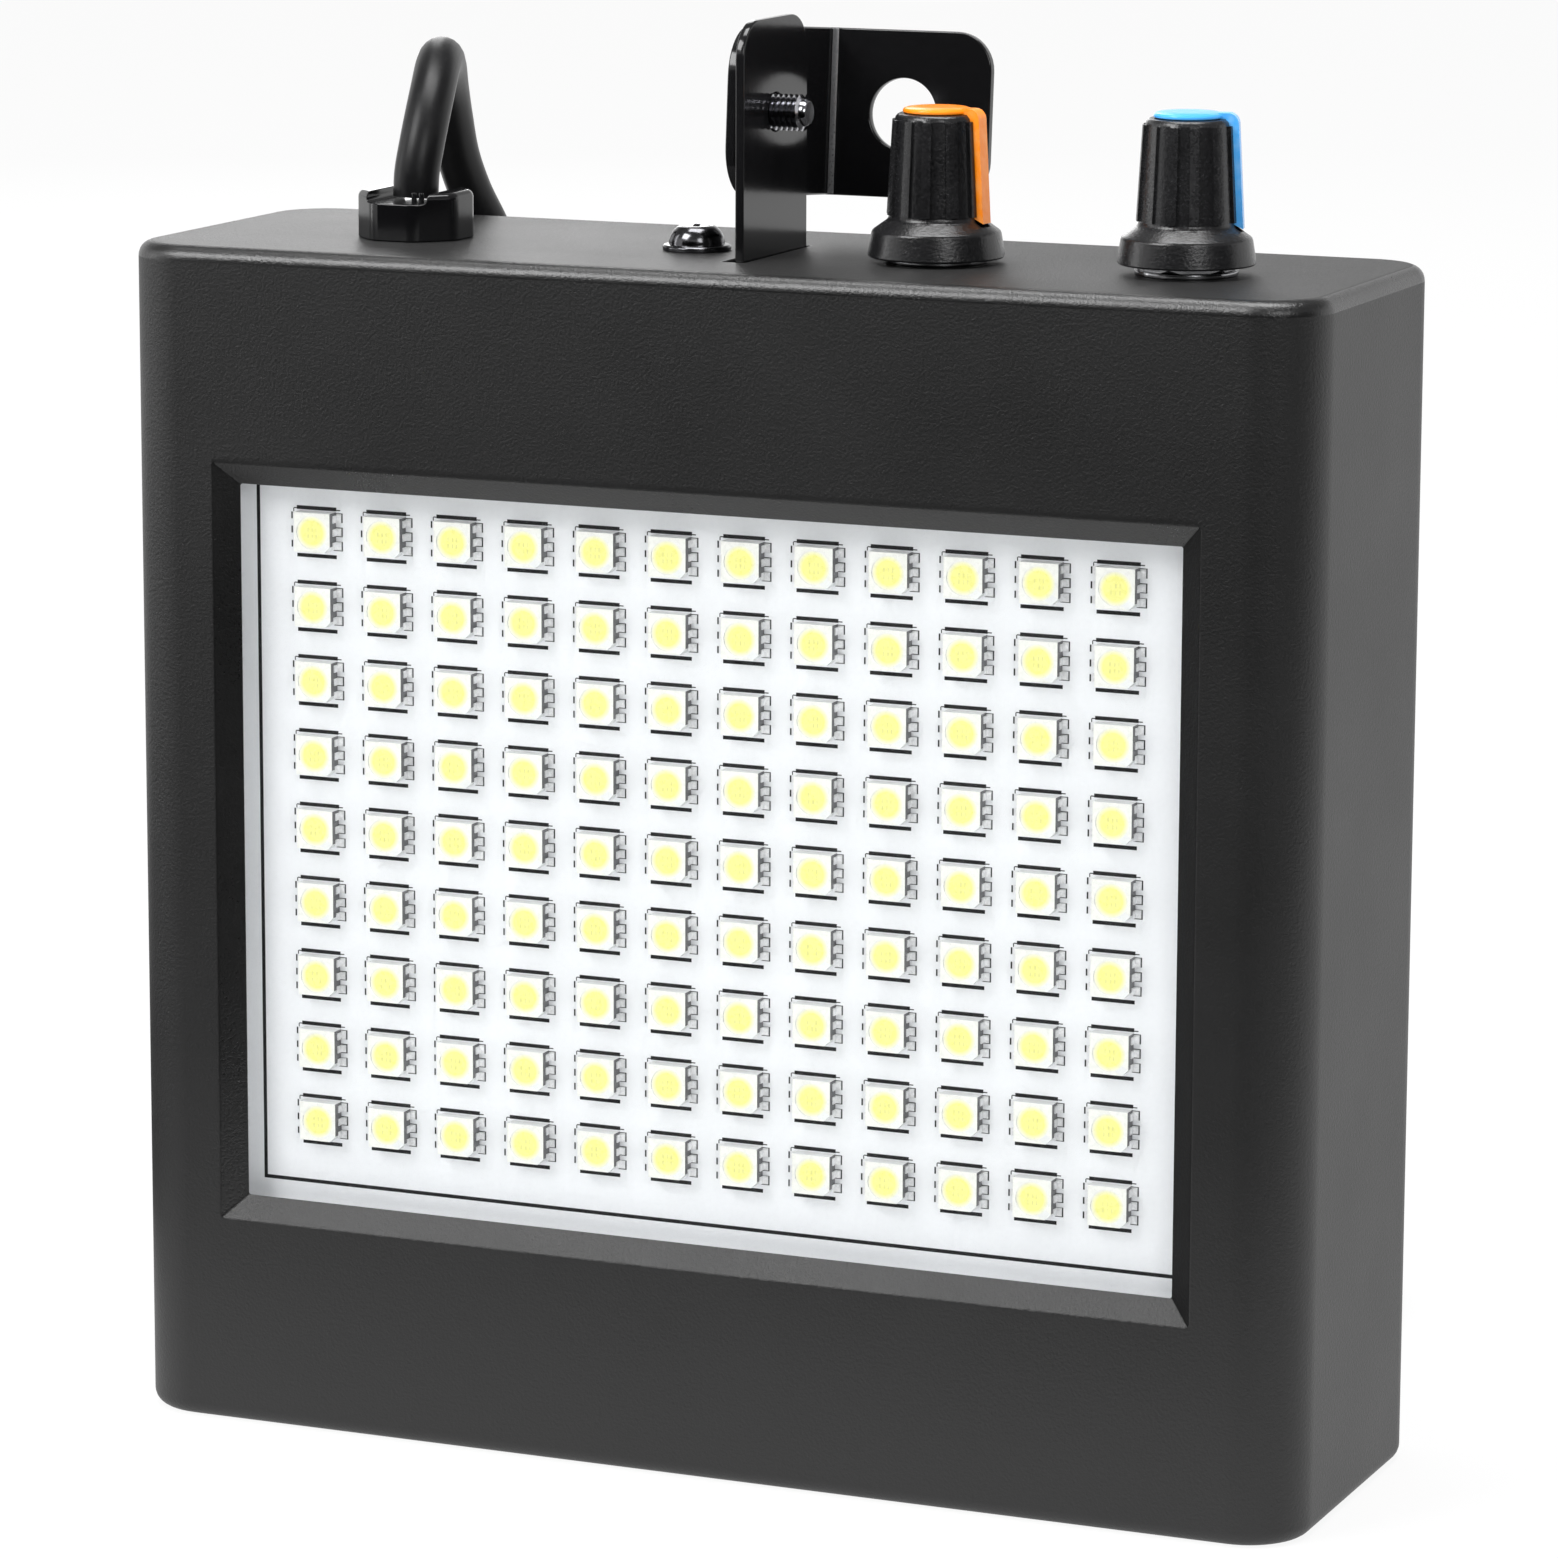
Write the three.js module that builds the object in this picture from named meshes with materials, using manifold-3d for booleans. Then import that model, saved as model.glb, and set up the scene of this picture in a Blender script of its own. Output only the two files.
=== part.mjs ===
// A small strobe light: a moulded housing with a window full of light-emitting diodes, a mains lead,
// two control knobs and a swivel bracket on its top. Millimetres, +X right, +Y back, +Z up.
// The origin is the middle of the underside of the housing, where it stands.
import * as THREE from "three";
import { mergeVertices } from "three/addons/utils/BufferGeometryUtils.js";
import Module from "manifold-3d";

const wasm = await Module();
wasm.setup();

// Housing
const width = 140;
const height = 134.5;
const depth = 45;
const wall = 2;
const cornerRadius = 7.5;
const edgeRadius = 2.5;
const windowSide = 14.5;
const windowEnd = 26.55;
const windowBevel = 2.7;
const coverSide = 8.5;
const coverEnd = 5.25;
const coverRadius = 4;
const postRadius = 3.2;
const postInset = 4.5;
const postGap = 0.45;
const postPilotRadius = 1.1;
const postPilotDepth = 14;

// Clearances
const slip = 0.05;
const looseFit = 0.3;
const closeFit = 0.1;
const runningFit = 0.1;
const overrun = 1;

// Window stack and diode board
const paneThickness = 1;
const paneOverlapX = 3.7;
const paneOverlapZ = 3.5;
const paneCorner = 1;
const frameBar = 2;
const frameThickness = 1.9;
const frameCorner = 0.4;
const boardThickness = 1.6;
const boardCorner = 1;
const boardSideGap = 2.3;
const boardMargin = 5.8;
const boardHoleInset = 3;
const boardBossRadius = 2.6;
const boardPilotRadius = 0.95;
const boardPilotDepth = 4;
const diodeColumns = 12;
const diodeRows = 9;
const diodeMarginSide = 7.98;
const diodeMarginBottom = 8.81;
const diodeMarginTop = 5.15;
const diodeSide = 5;
const diodeHeight = 1.6;
const trackWidth = 1.2;
const trackThickness = 0.1;

// Screws
const coverScrewHead = 2.8;
const coverScrewShank = 1;
const coverScrewLength = 12;
const boardScrewHead = 2.3;
const boardScrewHeadHeight = 1.4;
const boardScrewShank = 0.85;
const boardScrewLength = 5;
const crossWidth = 0.8;
const crossDepth = 0.9;
const recessShare = 0.6;
const domeShare = 0.93;

// Driver board and its components
const driverWidth = 84;
const driverHeight = 52;
const driverDrop = 1.25;
const driverStandoff = 10.5;
const driverHoleInset = 4;
const standoffRadius = 2.8;
const capacitorRadius = 5;
const capacitorHeight = 16;
const capacitorLip = 0.9;
const rectifierSize = [8.4, 3.4, 6.4];
const chipSize = [9.4, 3.4, 6.4];
const transistorSize = [10, 4.5, 15];
const sinkWidth = 16;
const sinkHeight = 9;
const sinkDepth = 10;
const sinkFin = 1.2;
const sinkFins = 5;
const sinkBase = 2;
const terminalSize = [10, 9, 8];
const microphoneRadius = 4.85;
const microphoneHeight = 6.6;
const microphoneHole = 0.6;
const microphoneHoleCircle = 2;
const microphoneHoles = 6;
const ribbonWidth = 5;
const ribbonThickness = 1;
const tailRadius = 2.2;

// Row of fittings along the top
const rowY = -2.1;
const glandInset = 27.7;
const glandY = -2.8;
const screwX = -8.2;
const soundInset = 21;
const speedShare = 0.41225;

// Cord gland
const glandAcross = 12.3;
const glandHeight = 5.3;
const glandSaddle = 1.1;
const glandSaddleWidth = 7.4;
const glandNeckRadius = 4.7;
const glandSnapRadius = 5.6;
const glandSnapHeight = 4;

// Mounting ear and its screw
const earThickness = 1;
const earFace = 1.2;
const earWidth = 18;
const earRise = 25.9;
const earRadius = 4.2;
const earFootReach = 14;
const slotBehindEar = 1.4;
const slotAlong = 0.5;
const earScrewFlange = 3.8;
const earScrewFlangeHeight = 0.6;
const earScrewDome = 3.1;
const earScrewHeight = 2.7;
const earScrewShank = 1.95;
const earScrewLength = 8;

// Swivel bracket and its pivot screw
const pivotRise = 15.6;
const bracketTilt = THREE.MathUtils.degToRad(-4.6);
const bracketThickness = 1.2;
const bracketHeight = 18.7;
const bracketLegFront = 8;
const bracketPlateGap = 19.4;
const bracketReach = 20.1;
const bracketBend = 1;
const legRadius = 5.6;
const plateRadius = 4.3;
const mountHoleRadius = 4;
const mountHoleFromLeg = 9.7;
const pivotShank = 2;
const pivotHead = 3.3;
const pivotHeadHeight = 1.8;
const pivotStickOut = 4;
const pivotTipChamfer = 0.4;

// Potentiometers and knobs
const potRadius = 8;
const potDepth = 8;
const bushRadius = 3.5;
const bushHeight = 3.3;
const shaftRadius = 3;
const shaftAbove = 13;
const shaftBelow = 4.5;
const lugWidth = 1.6;
const lugLength = 5;
const lugThickness = 0.6;
const lugSpacing = 4;
const potWasherRadius = 5.6;
const potWasherThickness = 0.5;
const potNutFlats = 10;
const potNutHeight = 2;
const knobHeight = 17;
const knobSkirt = 7.5;
const skirtTop = 7.05;
const skirtHeight = 2.9;
const knobFoot = 5.15;
const knobFootHeight = 4.6;
const knobNeck = 4.55;
const knobNeckHeight = 15.6;
const ridgeHeight = 0.32;
const ridges = 12;
const ridgeSteps = 4;
const recessRadius = 6.2;
const recessHeight = 3;
const capRadius = 3.75;
const capRim = 0.5;
const pointerWidth = 2.4;
const pointerTop = 5.55;
const pointerFoot = 6.3;
const pointerTip = 3.9;
const pointerDepth = 1.1;
const speedKnobLift = 0.6;
const soundKnobLift = 1.4;
const speedPointerAngle = THREE.MathUtils.degToRad(-8);
const soundPointerAngle = THREE.MathUtils.degToRad(9);

// Mains lead, its coil, tie and plug
const cordDiameter = 5.1;
const cordSides = 10;
const cordSteps = 22;
const coilTurns = 5.54;
const coilMiddle = 55.2;
const coilPitch = 5.65;
const coilX = 15;
const coilY = 66.5;
const coilSides = 6;
const coilStepsPerTurn = 24;
const tieThickness = 0.6;
const tieWidth = 4;
const tieRadius = 2.5;
const tieTurns = 0.75;
const plugNeckLength = 19.6;
const plugNeckRadius = 4.8;
const plugNeckThin = 3.1;
const plugLength = 26;
const plugWidth = 23.6;
const plugShoulder = 6.5;
const plugShoulderWidth = 11.6;
const plugEdge = 2.2;
const bladeSpacing = 12.7;
const bladeWidth = 6.3;
const bladeThickness = 1.5;
const bladeLength = 16;
const bladeChamfer = 1;
const bladeRoot = 3;

// The lead's route from the gland over the back edge and down to the surface, chosen by hand
const cordRoute = [
  [-42.2, -2.7, 141.6],
  [-42, -1.9, 144.6],
  [-42.1, -0.2, 147.7],
  [-42.7, 2.6, 150.6],
  [-43.9, 6.3, 152.7],
  [-45.5, 10.6, 153.3],
  [-47.3, 15.1, 152.2],
  [-48.9, 19, 149.5],
  [-49.9, 22.2, 145.6],
  [-50.3, 24.8, 141],
  [-49.8, 27.2, 136.4],
  [-48.6, 29.4, 132],
  [-47.3, 31, 126.8],
  [-46.3, 31.8, 120],
  [-45.3, 31.8, 107],
  [-44.1, 31.4, 88],
  [-42.3, 31, 67],
  [-39.5, 31, 46.5],
  [-34.5, 31, 28.5],
  [-26.6, 31, 14.6],
  [-16, 31, 6.6],
];

// Sizes that follow from those above
const halfWidth = width / 2;
const halfDepth = depth / 2;
const middleZ = height / 2;
const frontInside = -halfDepth + wall;
const backInside = halfDepth - wall;
const topInside = height - wall;
const windowWidth = width - 2 * windowSide;
const windowHeight = height - 2 * windowEnd;
const coverWidth = width - 2 * coverSide;
const coverHeight = height - 2 * coverEnd;
const glandX = glandInset - halfWidth;
const soundX = halfWidth - soundInset;
const speedX = speedShare * soundX;
const paneFront = frontInside + slip;
const frameFront = paneFront + paneThickness + slip;
const boardFront = frameFront + frameThickness + slip;
const boardBack = boardFront + boardThickness;
const paneWidth = windowWidth + 2 * paneOverlapX;
const paneHeight = windowHeight + 2 * paneOverlapZ;
const boardWidth = width - 2 * wall - 2 * boardSideGap;
const boardHeight = windowHeight + 2 * boardMargin;
const diodePitchX = (windowWidth - 2 * diodeMarginSide) / (diodeColumns - 1);
const diodePitchZ = (windowHeight - diodeMarginBottom - diodeMarginTop) / (diodeRows - 1);
const lowestDiode = middleZ - windowHeight / 2 + diodeMarginBottom;
const boardHoleX = boardWidth / 2 - boardHoleInset;
const boardHoleZ = boardHeight / 2 - boardHoleInset;
const postX = coverWidth / 2 - postInset;
const postZ = boardHeight / 2 + postGap + postRadius;
const driverCentreZ = middleZ - driverDrop;
const driverBack = backInside - driverStandoff;
const driverFront = driverBack - boardThickness;
const earTop = height + earRise;
const pivotZ = height + pivotRise;
const earBack = earFace - earThickness;
const footTop = topInside - slip;
const footBottom = footTop - earThickness;
const legFace = earBack - looseFit;
const legBack = legFace - bracketThickness;
const cordRadius = cordDiameter / 2;
const knobBoreTop = shaftAbove + looseFit;
const glandFloor = height + glandHeight - glandSaddle;
const glandBottom = topInside - glandSnapHeight;
const coilBottomZ = cordRadius + tieThickness + looseFit + slip;
const coilTopZ = coilBottomZ + coilPitch;
const coilAngle = 2 * Math.PI * coilTurns;
const coilInner = coilMiddle / 2 - (coilPitch * coilTurns) / 4;
const roundSides = 24;
const smallSides = 12;
const arcSteps = 5;
const smallArcSteps = 2;
const bevelSteps = 3;

// A closed geometry as a solid that can be joined and cut
function solid(geometry) {
  const bare = geometry.index ? geometry.toNonIndexed() : geometry.clone();
  bare.deleteAttribute("normal");
  bare.deleteAttribute("uv");
  const merged = mergeVertices(bare, 1e-4);
  return new wasm.Manifold(
    new wasm.Mesh({
      numProp: 3,
      vertProperties: new Float32Array(merged.attributes.position.array),
      triVerts: new Uint32Array(merged.index.array),
    }),
  );
}

// A solid turned back into a geometry
function geometryOf(made) {
  const { vertProperties, triVerts, numProp } = made.getMesh();
  const places = [];
  for (let i = 0; i < vertProperties.length; i += numProp) {
    places.push(...vertProperties.subarray(i, i + 3));
  }
  const geometry = new THREE.BufferGeometry();
  geometry.setAttribute("position", new THREE.Float32BufferAttribute(places, 3));
  geometry.setIndex([...triVerts]);
  geometry.computeVertexNormals();
  return geometry;
}

function joined(...geometries) {
  return geometryOf(geometries.map(solid).reduce((sum, next) => sum.add(next)));
}

function cut(base, ...tools) {
  return geometryOf(tools.map(solid).reduce((rest, tool) => rest.subtract(tool), solid(base)));
}

function common(first, second) {
  return geometryOf(solid(first).intersect(solid(second)));
}

// A box between two opposite corners
function box([x0, y0, z0], [x1, y1, z1]) {
  const geometry = new THREE.BoxGeometry(x1 - x0, y1 - y0, z1 - z0);
  return geometry.translate((x0 + x1) / 2, (y0 + y1) / 2, (z0 + z1) / 2);
}

// A round rod between two points
function rod(radius, from, to, sides = roundSides) {
  const start = new THREE.Vector3(...from);
  const way = new THREE.Vector3(...to).sub(start);
  const geometry = new THREE.CylinderGeometry(radius, radius, way.length(), sides);
  const turn = new THREE.Quaternion();
  turn.setFromUnitVectors(new THREE.Vector3(0, 1, 0), way.clone().normalize());
  geometry.applyQuaternion(turn);
  return geometry.translate(...start.addScaledVector(way, 1 / 2).toArray());
}

// A rectangle about the origin with sharp corners
function rectangle(across, up) {
  const x = across / 2;
  const y = up / 2;
  return new THREE.Shape([
    new THREE.Vector2(-x, -y),
    new THREE.Vector2(x, -y),
    new THREE.Vector2(x, y),
    new THREE.Vector2(-x, y),
  ]);
}

// A rectangle about the origin with round corners
function roundRectangle(across, up, radius) {
  const x = across / 2;
  const y = up / 2;
  const shape = new THREE.Shape();
  shape.absarc(x - radius, y - radius, radius, 0, Math.PI / 2);
  shape.absarc(radius - x, y - radius, radius, Math.PI / 2, Math.PI);
  shape.absarc(radius - x, radius - y, radius, Math.PI, 1.5 * Math.PI);
  shape.absarc(x - radius, radius - y, radius, 1.5 * Math.PI, 2 * Math.PI);
  return shape;
}

// An outline drawn in X and Y, raised from z = bottom to z = top
function upright(shape, bottom, top, curveSegments = arcSteps) {
  const settings = { depth: top - bottom, bevelEnabled: false, curveSegments };
  return new THREE.ExtrudeGeometry(shape, settings).translate(0, 0, bottom);
}

// An outline drawn in X and Z, carried from y = front to y = back
function backward(shape, front, back, centreX = 0, centreZ = 0, curveSegments = arcSteps) {
  const geometry = upright(shape, -back, -front, curveSegments).rotateX(Math.PI / 2);
  return geometry.translate(centreX, 0, centreZ);
}

// An outline drawn in Y and Z, carried from x = left to x = right
function sideways(shape, left, right, centreY = 0, centreZ = 0) {
  const geometry = upright(shape, left, right).rotateZ(Math.PI / 2).rotateY(Math.PI / 2);
  return geometry.translate(0, centreY, centreZ);
}

// A hexagonal prism with a round hole, standing on z = bottom
function hexNut(flats, holeRadius, thickness, x, y, bottom) {
  const corner = flats / Math.sqrt(3);
  const prism = new THREE.CylinderGeometry(corner, corner, thickness, 6).rotateX(Math.PI / 2);
  prism.translate(x, y, bottom + thickness / 2);
  return cut(prism, rod(holeRadius, [x, y, bottom - overrun], [x, y, bottom + thickness + overrun]));
}

// A turned shape about +Z from points of radius and height, the first and last on the axis
function turned(points, sides = roundSides) {
  const profile = points.map(([radius, z]) => new THREE.Vector2(radius, z));
  return new THREE.LatheGeometry(profile, sides).rotateX(Math.PI / 2);
}

// Rings of points joined into one closed skin, with a fan over each end
function loft(rings) {
  const sides = rings[0].length;
  const places = rings.flat();
  const faces = [];
  for (let level = 0; level + 1 < rings.length; level += 1) {
    for (let i = 0; i < sides; i += 1) {
      const a = level * sides + i;
      const b = level * sides + ((i + 1) % sides);
      faces.push(a, b, b + sides, a, b + sides, a + sides);
    }
  }
  const centres = [rings[0], rings.at(-1)].map((ring) => {
    const middle = new THREE.Vector3();
    ring.forEach((point) => middle.add(new THREE.Vector3(...point)));
    return middle.divideScalar(sides).toArray();
  });
  const last = (rings.length - 1) * sides;
  const foot = places.length;
  for (let i = 0; i < sides; i += 1) {
    const next = (i + 1) % sides;
    faces.push(next, i, foot);
    faces.push(last + i, last + next, foot + 1);
  }
  const geometry = new THREE.BufferGeometry();
  const all = [...places, ...centres].flat();
  geometry.setAttribute("position", new THREE.Float32BufferAttribute(all, 3));
  geometry.setIndex(faces);
  return geometry.toNonIndexed();
}

const part = new THREE.Group();

function add(name, geometry, material, parent = part) {
  const mesh = new THREE.Mesh(geometry, material);
  mesh.name = name;
  parent.add(mesh);
  return mesh;
}

function finish(color, roughness, metalness = 0, opacity = 1) {
  const transparent = opacity < 1;
  return new THREE.MeshStandardMaterial({ color, roughness, metalness, opacity, transparent });
}

const housingBlack = finish(0x36373a, 0.62);
const coverBlack = finish(0x333437, 0.66);
const clearSheet = finish(0xf4f8fa, 0.08, 0, 0.25);
const foamWhite = finish(0xdadcdc, 0.9);
const boardWhite = finish(0xf0f2f3, 0.45);
const diodeWhite = finish(0xf3f1c4, 0.4);
const boardGreen = finish(0x2c6b3f, 0.5);
const paintBlack = finish(0x0d0d0e, 0.18);
const screwBlack = finish(0x151517, 0.25, 0.9);
const zincSteel = finish(0xb9bcc0, 0.35, 1);
const aluminium = finish(0xa9adb2, 0.4, 1);
const chipBlack = finish(0x1b1b1d, 0.5);
const sleeveBlue = finish(0x22345f, 0.4);
const terminalGreen = finish(0x3c7f57, 0.5);
const ribbonGrey = finish(0x9a9da1, 0.6);
const knobBlack = finish(0x18191b, 0.45);
const capOrange = finish(0xff9728, 0.3);
const capBlue = finish(0x4fa8f0, 0.3);
const glandBlack = finish(0x0e0e10, 0.22);
const cordBlack = finish(0x1a1a1c, 0.42);
const tieBlack = finish(0x121214, 0.6);
const plugBlack = finish(0x161618, 0.45);
const brass = finish(0xc9a55a, 0.3, 1);

// Housing

function housingBody() {
  const outline = roundRectangle(width, depth, cornerRadius);
  const settings = {
    depth: height - 2 * edgeRadius,
    bevelSize: edgeRadius,
    bevelOffset: -edgeRadius,
    bevelThickness: edgeRadius,
    bevelSegments: bevelSteps,
    curveSegments: 2 * smallArcSteps + arcSteps,
  };
  const outside = new THREE.ExtrudeGeometry(outline, settings).translate(0, 0, edgeRadius);
  const inside = roundRectangle(width - 2 * wall, depth - 2 * wall, cornerRadius - wall);
  return cut(outside, upright(inside, wall, topInside));
}

// The window's four mitred slopes narrow from the front face to the inside of the wall.
function windowCut() {
  const outline = rectangle(windowWidth, windowHeight);
  const x = windowWidth / 2;
  const z = windowHeight / 2;
  const settings = {
    depth: overrun,
    bevelSize: windowBevel,
    bevelThickness: wall,
    bevelSegments: 1,
  };
  const slopes = new THREE.ExtrudeGeometry(outline, settings).rotateX(-Math.PI / 2);
  slopes.translate(0, -halfDepth - overrun, middleZ);
  return joined(
    slopes,
    box([-x, -halfDepth, middleZ - z], [x, frontInside + overrun, middleZ + z]),
  );
}

function coverOpening() {
  const outline = roundRectangle(
    coverWidth + 2 * looseFit,
    coverHeight + 2 * looseFit,
    coverRadius + looseFit,
  );
  return backward(outline, backInside - overrun, halfDepth + overrun, 0, middleZ);
}

function atPosts(make) {
  const places = [];
  for (const x of [-postX, postX]) {
    for (const z of [middleZ - postZ, middleZ + postZ]) {
      places.push(make(x, z));
    }
  }
  return places;
}

function atBoardHoles(make) {
  const places = [];
  for (const x of [-boardHoleX, boardHoleX]) {
    for (const z of [middleZ - boardHoleZ, middleZ + boardHoleZ]) {
      places.push(make(x, z));
    }
  }
  return places;
}

function topHole(radius, x, y) {
  return rod(radius, [x, y, topInside - overrun], [x, y, height + overrun]);
}

function frontShell() {
  const postEnd = backInside - slip;
  const posts = atPosts((x, z) =>
    rod(postRadius, [x, frontInside - slip, z], [x, postEnd, z], smallSides),
  );
  const pilots = atPosts((x, z) =>
    rod(postPilotRadius, [x, postEnd - postPilotDepth, z], [x, postEnd + overrun, z], smallSides),
  );
  const bossEnd = boardFront - slip;
  const bosses = atBoardHoles((x, z) =>
    rod(boardBossRadius, [x, frontInside - slip, z], [x, bossEnd, z], smallSides),
  );
  const bossPilots = atBoardHoles((x, z) =>
    rod(boardPilotRadius, [x, bossEnd - boardPilotDepth, z], [x, bossEnd + overrun, z], smallSides),
  );
  const slotHalf = earWidth / 2 + slotAlong;
  const slot = box(
    [earBack - slotBehindEar, rowY - slotHalf, topInside - overrun],
    [earFace + looseFit, rowY + slotHalf, height + overrun],
  );
  const shell = joined(housingBody(), ...posts, ...bosses);
  return cut(
    shell,
    windowCut(),
    coverOpening(),
    ...pilots,
    ...bossPilots,
    slot,
    topHole(glandNeckRadius + closeFit, glandX, glandY),
    topHole(earScrewShank + looseFit, screwX, rowY),
    topHole(bushRadius + looseFit, speedX, rowY),
    topHole(bushRadius + looseFit, soundX, rowY),
  );
}

add("front_shell", frontShell(), housingBlack);

// Rear cover with its standoffs, countersunk holes and sound holes

const driverHoleX = driverWidth / 2 - driverHoleInset;
const driverHoleZ = driverHeight / 2 - driverHoleInset;
const driverHoles = [
  [-driverHoleX, driverCentreZ - driverHoleZ],
  [driverHoleX, driverCentreZ + driverHoleZ],
];
const microphoneX = driverWidth / 2 - 3 * driverHoleInset;
const microphoneZ = driverCentreZ - driverHoleZ / 2;

function countersink(x, z, radius, grow) {
  const depthOfCone = coverScrewHead - coverScrewShank;
  const cone = turned([
    [0, -depthOfCone],
    [coverScrewShank + grow, -depthOfCone],
    [radius + grow, 0],
    [radius + grow, grow],
    [0, grow],
  ]);
  return cone.rotateX(-Math.PI / 2).translate(x, halfDepth, z);
}

function rearCover() {
  const outline = roundRectangle(coverWidth, coverHeight, coverRadius);
  const plate = backward(outline, backInside, halfDepth, 0, middleZ);
  const standoffs = driverHoles.map(([x, z]) =>
    rod(standoffRadius, [x, driverBack + slip, z], [x, backInside + slip, z], smallSides),
  );
  const pilots = driverHoles.map(([x, z]) =>
    rod(boardPilotRadius, [x, driverBack, z], [x, driverBack + 2 * boardPilotDepth, z], smallSides),
  );
  const sinks = atPosts((x, z) =>
    joined(
      countersink(x, z, coverScrewHead, closeFit),
      rod(coverScrewShank + looseFit, [x, backInside - overrun, z], [x, halfDepth, z], smallSides),
    ),
  );
  const soundHoles = [];
  for (let i = 0; i < microphoneHoles; i += 1) {
    const angle = (2 * Math.PI * i) / microphoneHoles;
    const x = microphoneX + microphoneHoleCircle * Math.cos(angle);
    const z = microphoneZ + microphoneHoleCircle * Math.sin(angle);
    soundHoles.push(
      rod(microphoneHole, [x, backInside - overrun, z], [x, halfDepth + overrun, z], smallSides / 2),
    );
  }
  return cut(joined(plate, ...standoffs), ...pilots, ...sinks, ...soundHoles);
}

add("rear_cover", rearCover(), coverBlack);

// Two crossed slots for a screwdriver, sunk from z = top
function crossSlot(top, reach, across, deep) {
  const along = box([-reach, -across / 2, top - deep], [reach, across / 2, top + overrun]);
  const over = box([-across / 2, -reach, top - deep], [across / 2, reach, top + overrun]);
  return joined(along, over);
}

function coverScrew(x, z) {
  const cone = coverScrewHead - coverScrewShank;
  const body = turned(
    [
      [0, -coverScrewLength],
      [coverScrewShank / 2, -coverScrewLength],
      [coverScrewShank, coverScrewShank - coverScrewLength],
      [coverScrewShank, -cone],
      [coverScrewHead, 0],
      [0, 0],
    ],
    smallSides,
  );
  const slotted = cut(body, crossSlot(0, coverScrewHead * recessShare, crossWidth, crossDepth));
  return slotted.rotateX(-Math.PI / 2).translate(x, halfDepth, z);
}

atPosts((x, z) => [x, z]).forEach(([x, z], i) => {
  add("cover_screw_" + (i + 1), coverScrew(x, z), screwBlack);
});

// Clear window, its frame and the diode board

function clearWindow() {
  const outline = roundRectangle(paneWidth, paneHeight, paneCorner);
  const back = paneFront + paneThickness;
  return backward(outline, paneFront, back, 0, middleZ, smallArcSteps);
}

add("clear_window", clearWindow(), clearSheet);

function windowFrame() {
  const ring = roundRectangle(paneWidth, paneHeight, paneCorner);
  const hole = roundRectangle(paneWidth - 2 * frameBar, paneHeight - 2 * frameBar, frameCorner);
  ring.holes.push(hole);
  const back = frameFront + frameThickness;
  return backward(ring, frameFront, back, 0, middleZ, smallArcSteps);
}

add("window_frame", windowFrame(), foamWhite);

function ledBoard() {
  const outline = roundRectangle(boardWidth, boardHeight, boardCorner);
  const plate = backward(outline, boardFront, boardBack, 0, middleZ, smallArcSteps);
  const holes = atBoardHoles((x, z) =>
    rod(
      boardScrewShank + looseFit,
      [x, boardFront - overrun, z],
      [x, boardBack + overrun, z],
      smallSides,
    ),
  );
  return cut(plate, ...holes);
}

add("led_board", ledBoard(), boardWhite);

// Nine diodes, one above the other, on the copper track that joins them
function ledColumn(x) {
  const face = boardFront - slip;
  const highest = lowestDiode + (diodeRows - 1) * diodePitchZ;
  const pieces = [
    box(
      [x - trackWidth / 2, face - trackThickness, lowestDiode],
      [x + trackWidth / 2, face, highest],
    ),
  ];
  for (let row = 0; row < diodeRows; row += 1) {
    const z = lowestDiode + row * diodePitchZ;
    pieces.push(
      box(
        [x - diodeSide / 2, face - diodeHeight, z - diodeSide / 2],
        [x + diodeSide / 2, face, z + diodeSide / 2],
      ),
    );
  }
  return joined(...pieces);
}

for (let column = 0; column < diodeColumns; column += 1) {
  const x = (column - (diodeColumns - 1) / 2) * diodePitchX;
  add("led_column_" + String(column + 1).padStart(2, "0"), ledColumn(x), diodeWhite);
}

// A pan-headed screw along -Z, its head standing on z = 0
function panScrew(length) {
  const head = boardScrewHead;
  const tall = boardScrewHeadHeight;
  const body = turned(
    [
      [0, -length],
      [boardScrewShank / 2, -length],
      [boardScrewShank, boardScrewShank - length],
      [boardScrewShank, 0],
      [head, 0],
      [head, tall / 2],
      [head * recessShare, tall],
      [0, tall],
    ],
    smallSides,
  );
  return cut(body, crossSlot(tall, head * recessShare, crossWidth, crossDepth));
}

atBoardHoles((x, z) => [x, z]).forEach(([x, z], i) => {
  const screw = panScrew(boardScrewLength).rotateX(-Math.PI / 2);
  add("led_board_screw_" + (i + 1), screw.translate(x, boardBack + slip, z), zincSteel);
});

// Driver board and what is soldered on it

function driverBoard() {
  const outline = roundRectangle(driverWidth, driverHeight, boardCorner);
  const plate = backward(outline, driverFront, driverBack, 0, driverCentreZ, smallArcSteps);
  const holes = driverHoles.map(([x, z]) =>
    rod(
      boardScrewShank + looseFit,
      [x, driverFront - overrun, z],
      [x, driverBack + overrun, z],
      smallSides,
    ),
  );
  return cut(plate, ...holes);
}

add("driver_board", driverBoard(), boardGreen);

driverHoles.forEach(([x, z], i) => {
  const screw = panScrew(boardScrewLength).rotateX(Math.PI / 2);
  add("driver_board_screw_" + (i + 1), screw.translate(x, driverFront - slip, z), zincSteel);
});

// A block on the front of the driver board, its middle given as shares of the board
function onBoard([across, out, up], shareX, shareZ) {
  const x = shareX * driverWidth;
  const z = driverCentreZ + shareZ * driverHeight;
  const seat = driverFront - slip;
  return box([x - across / 2, seat - out, z - up / 2], [x + across / 2, seat, z + up / 2]);
}

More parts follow.
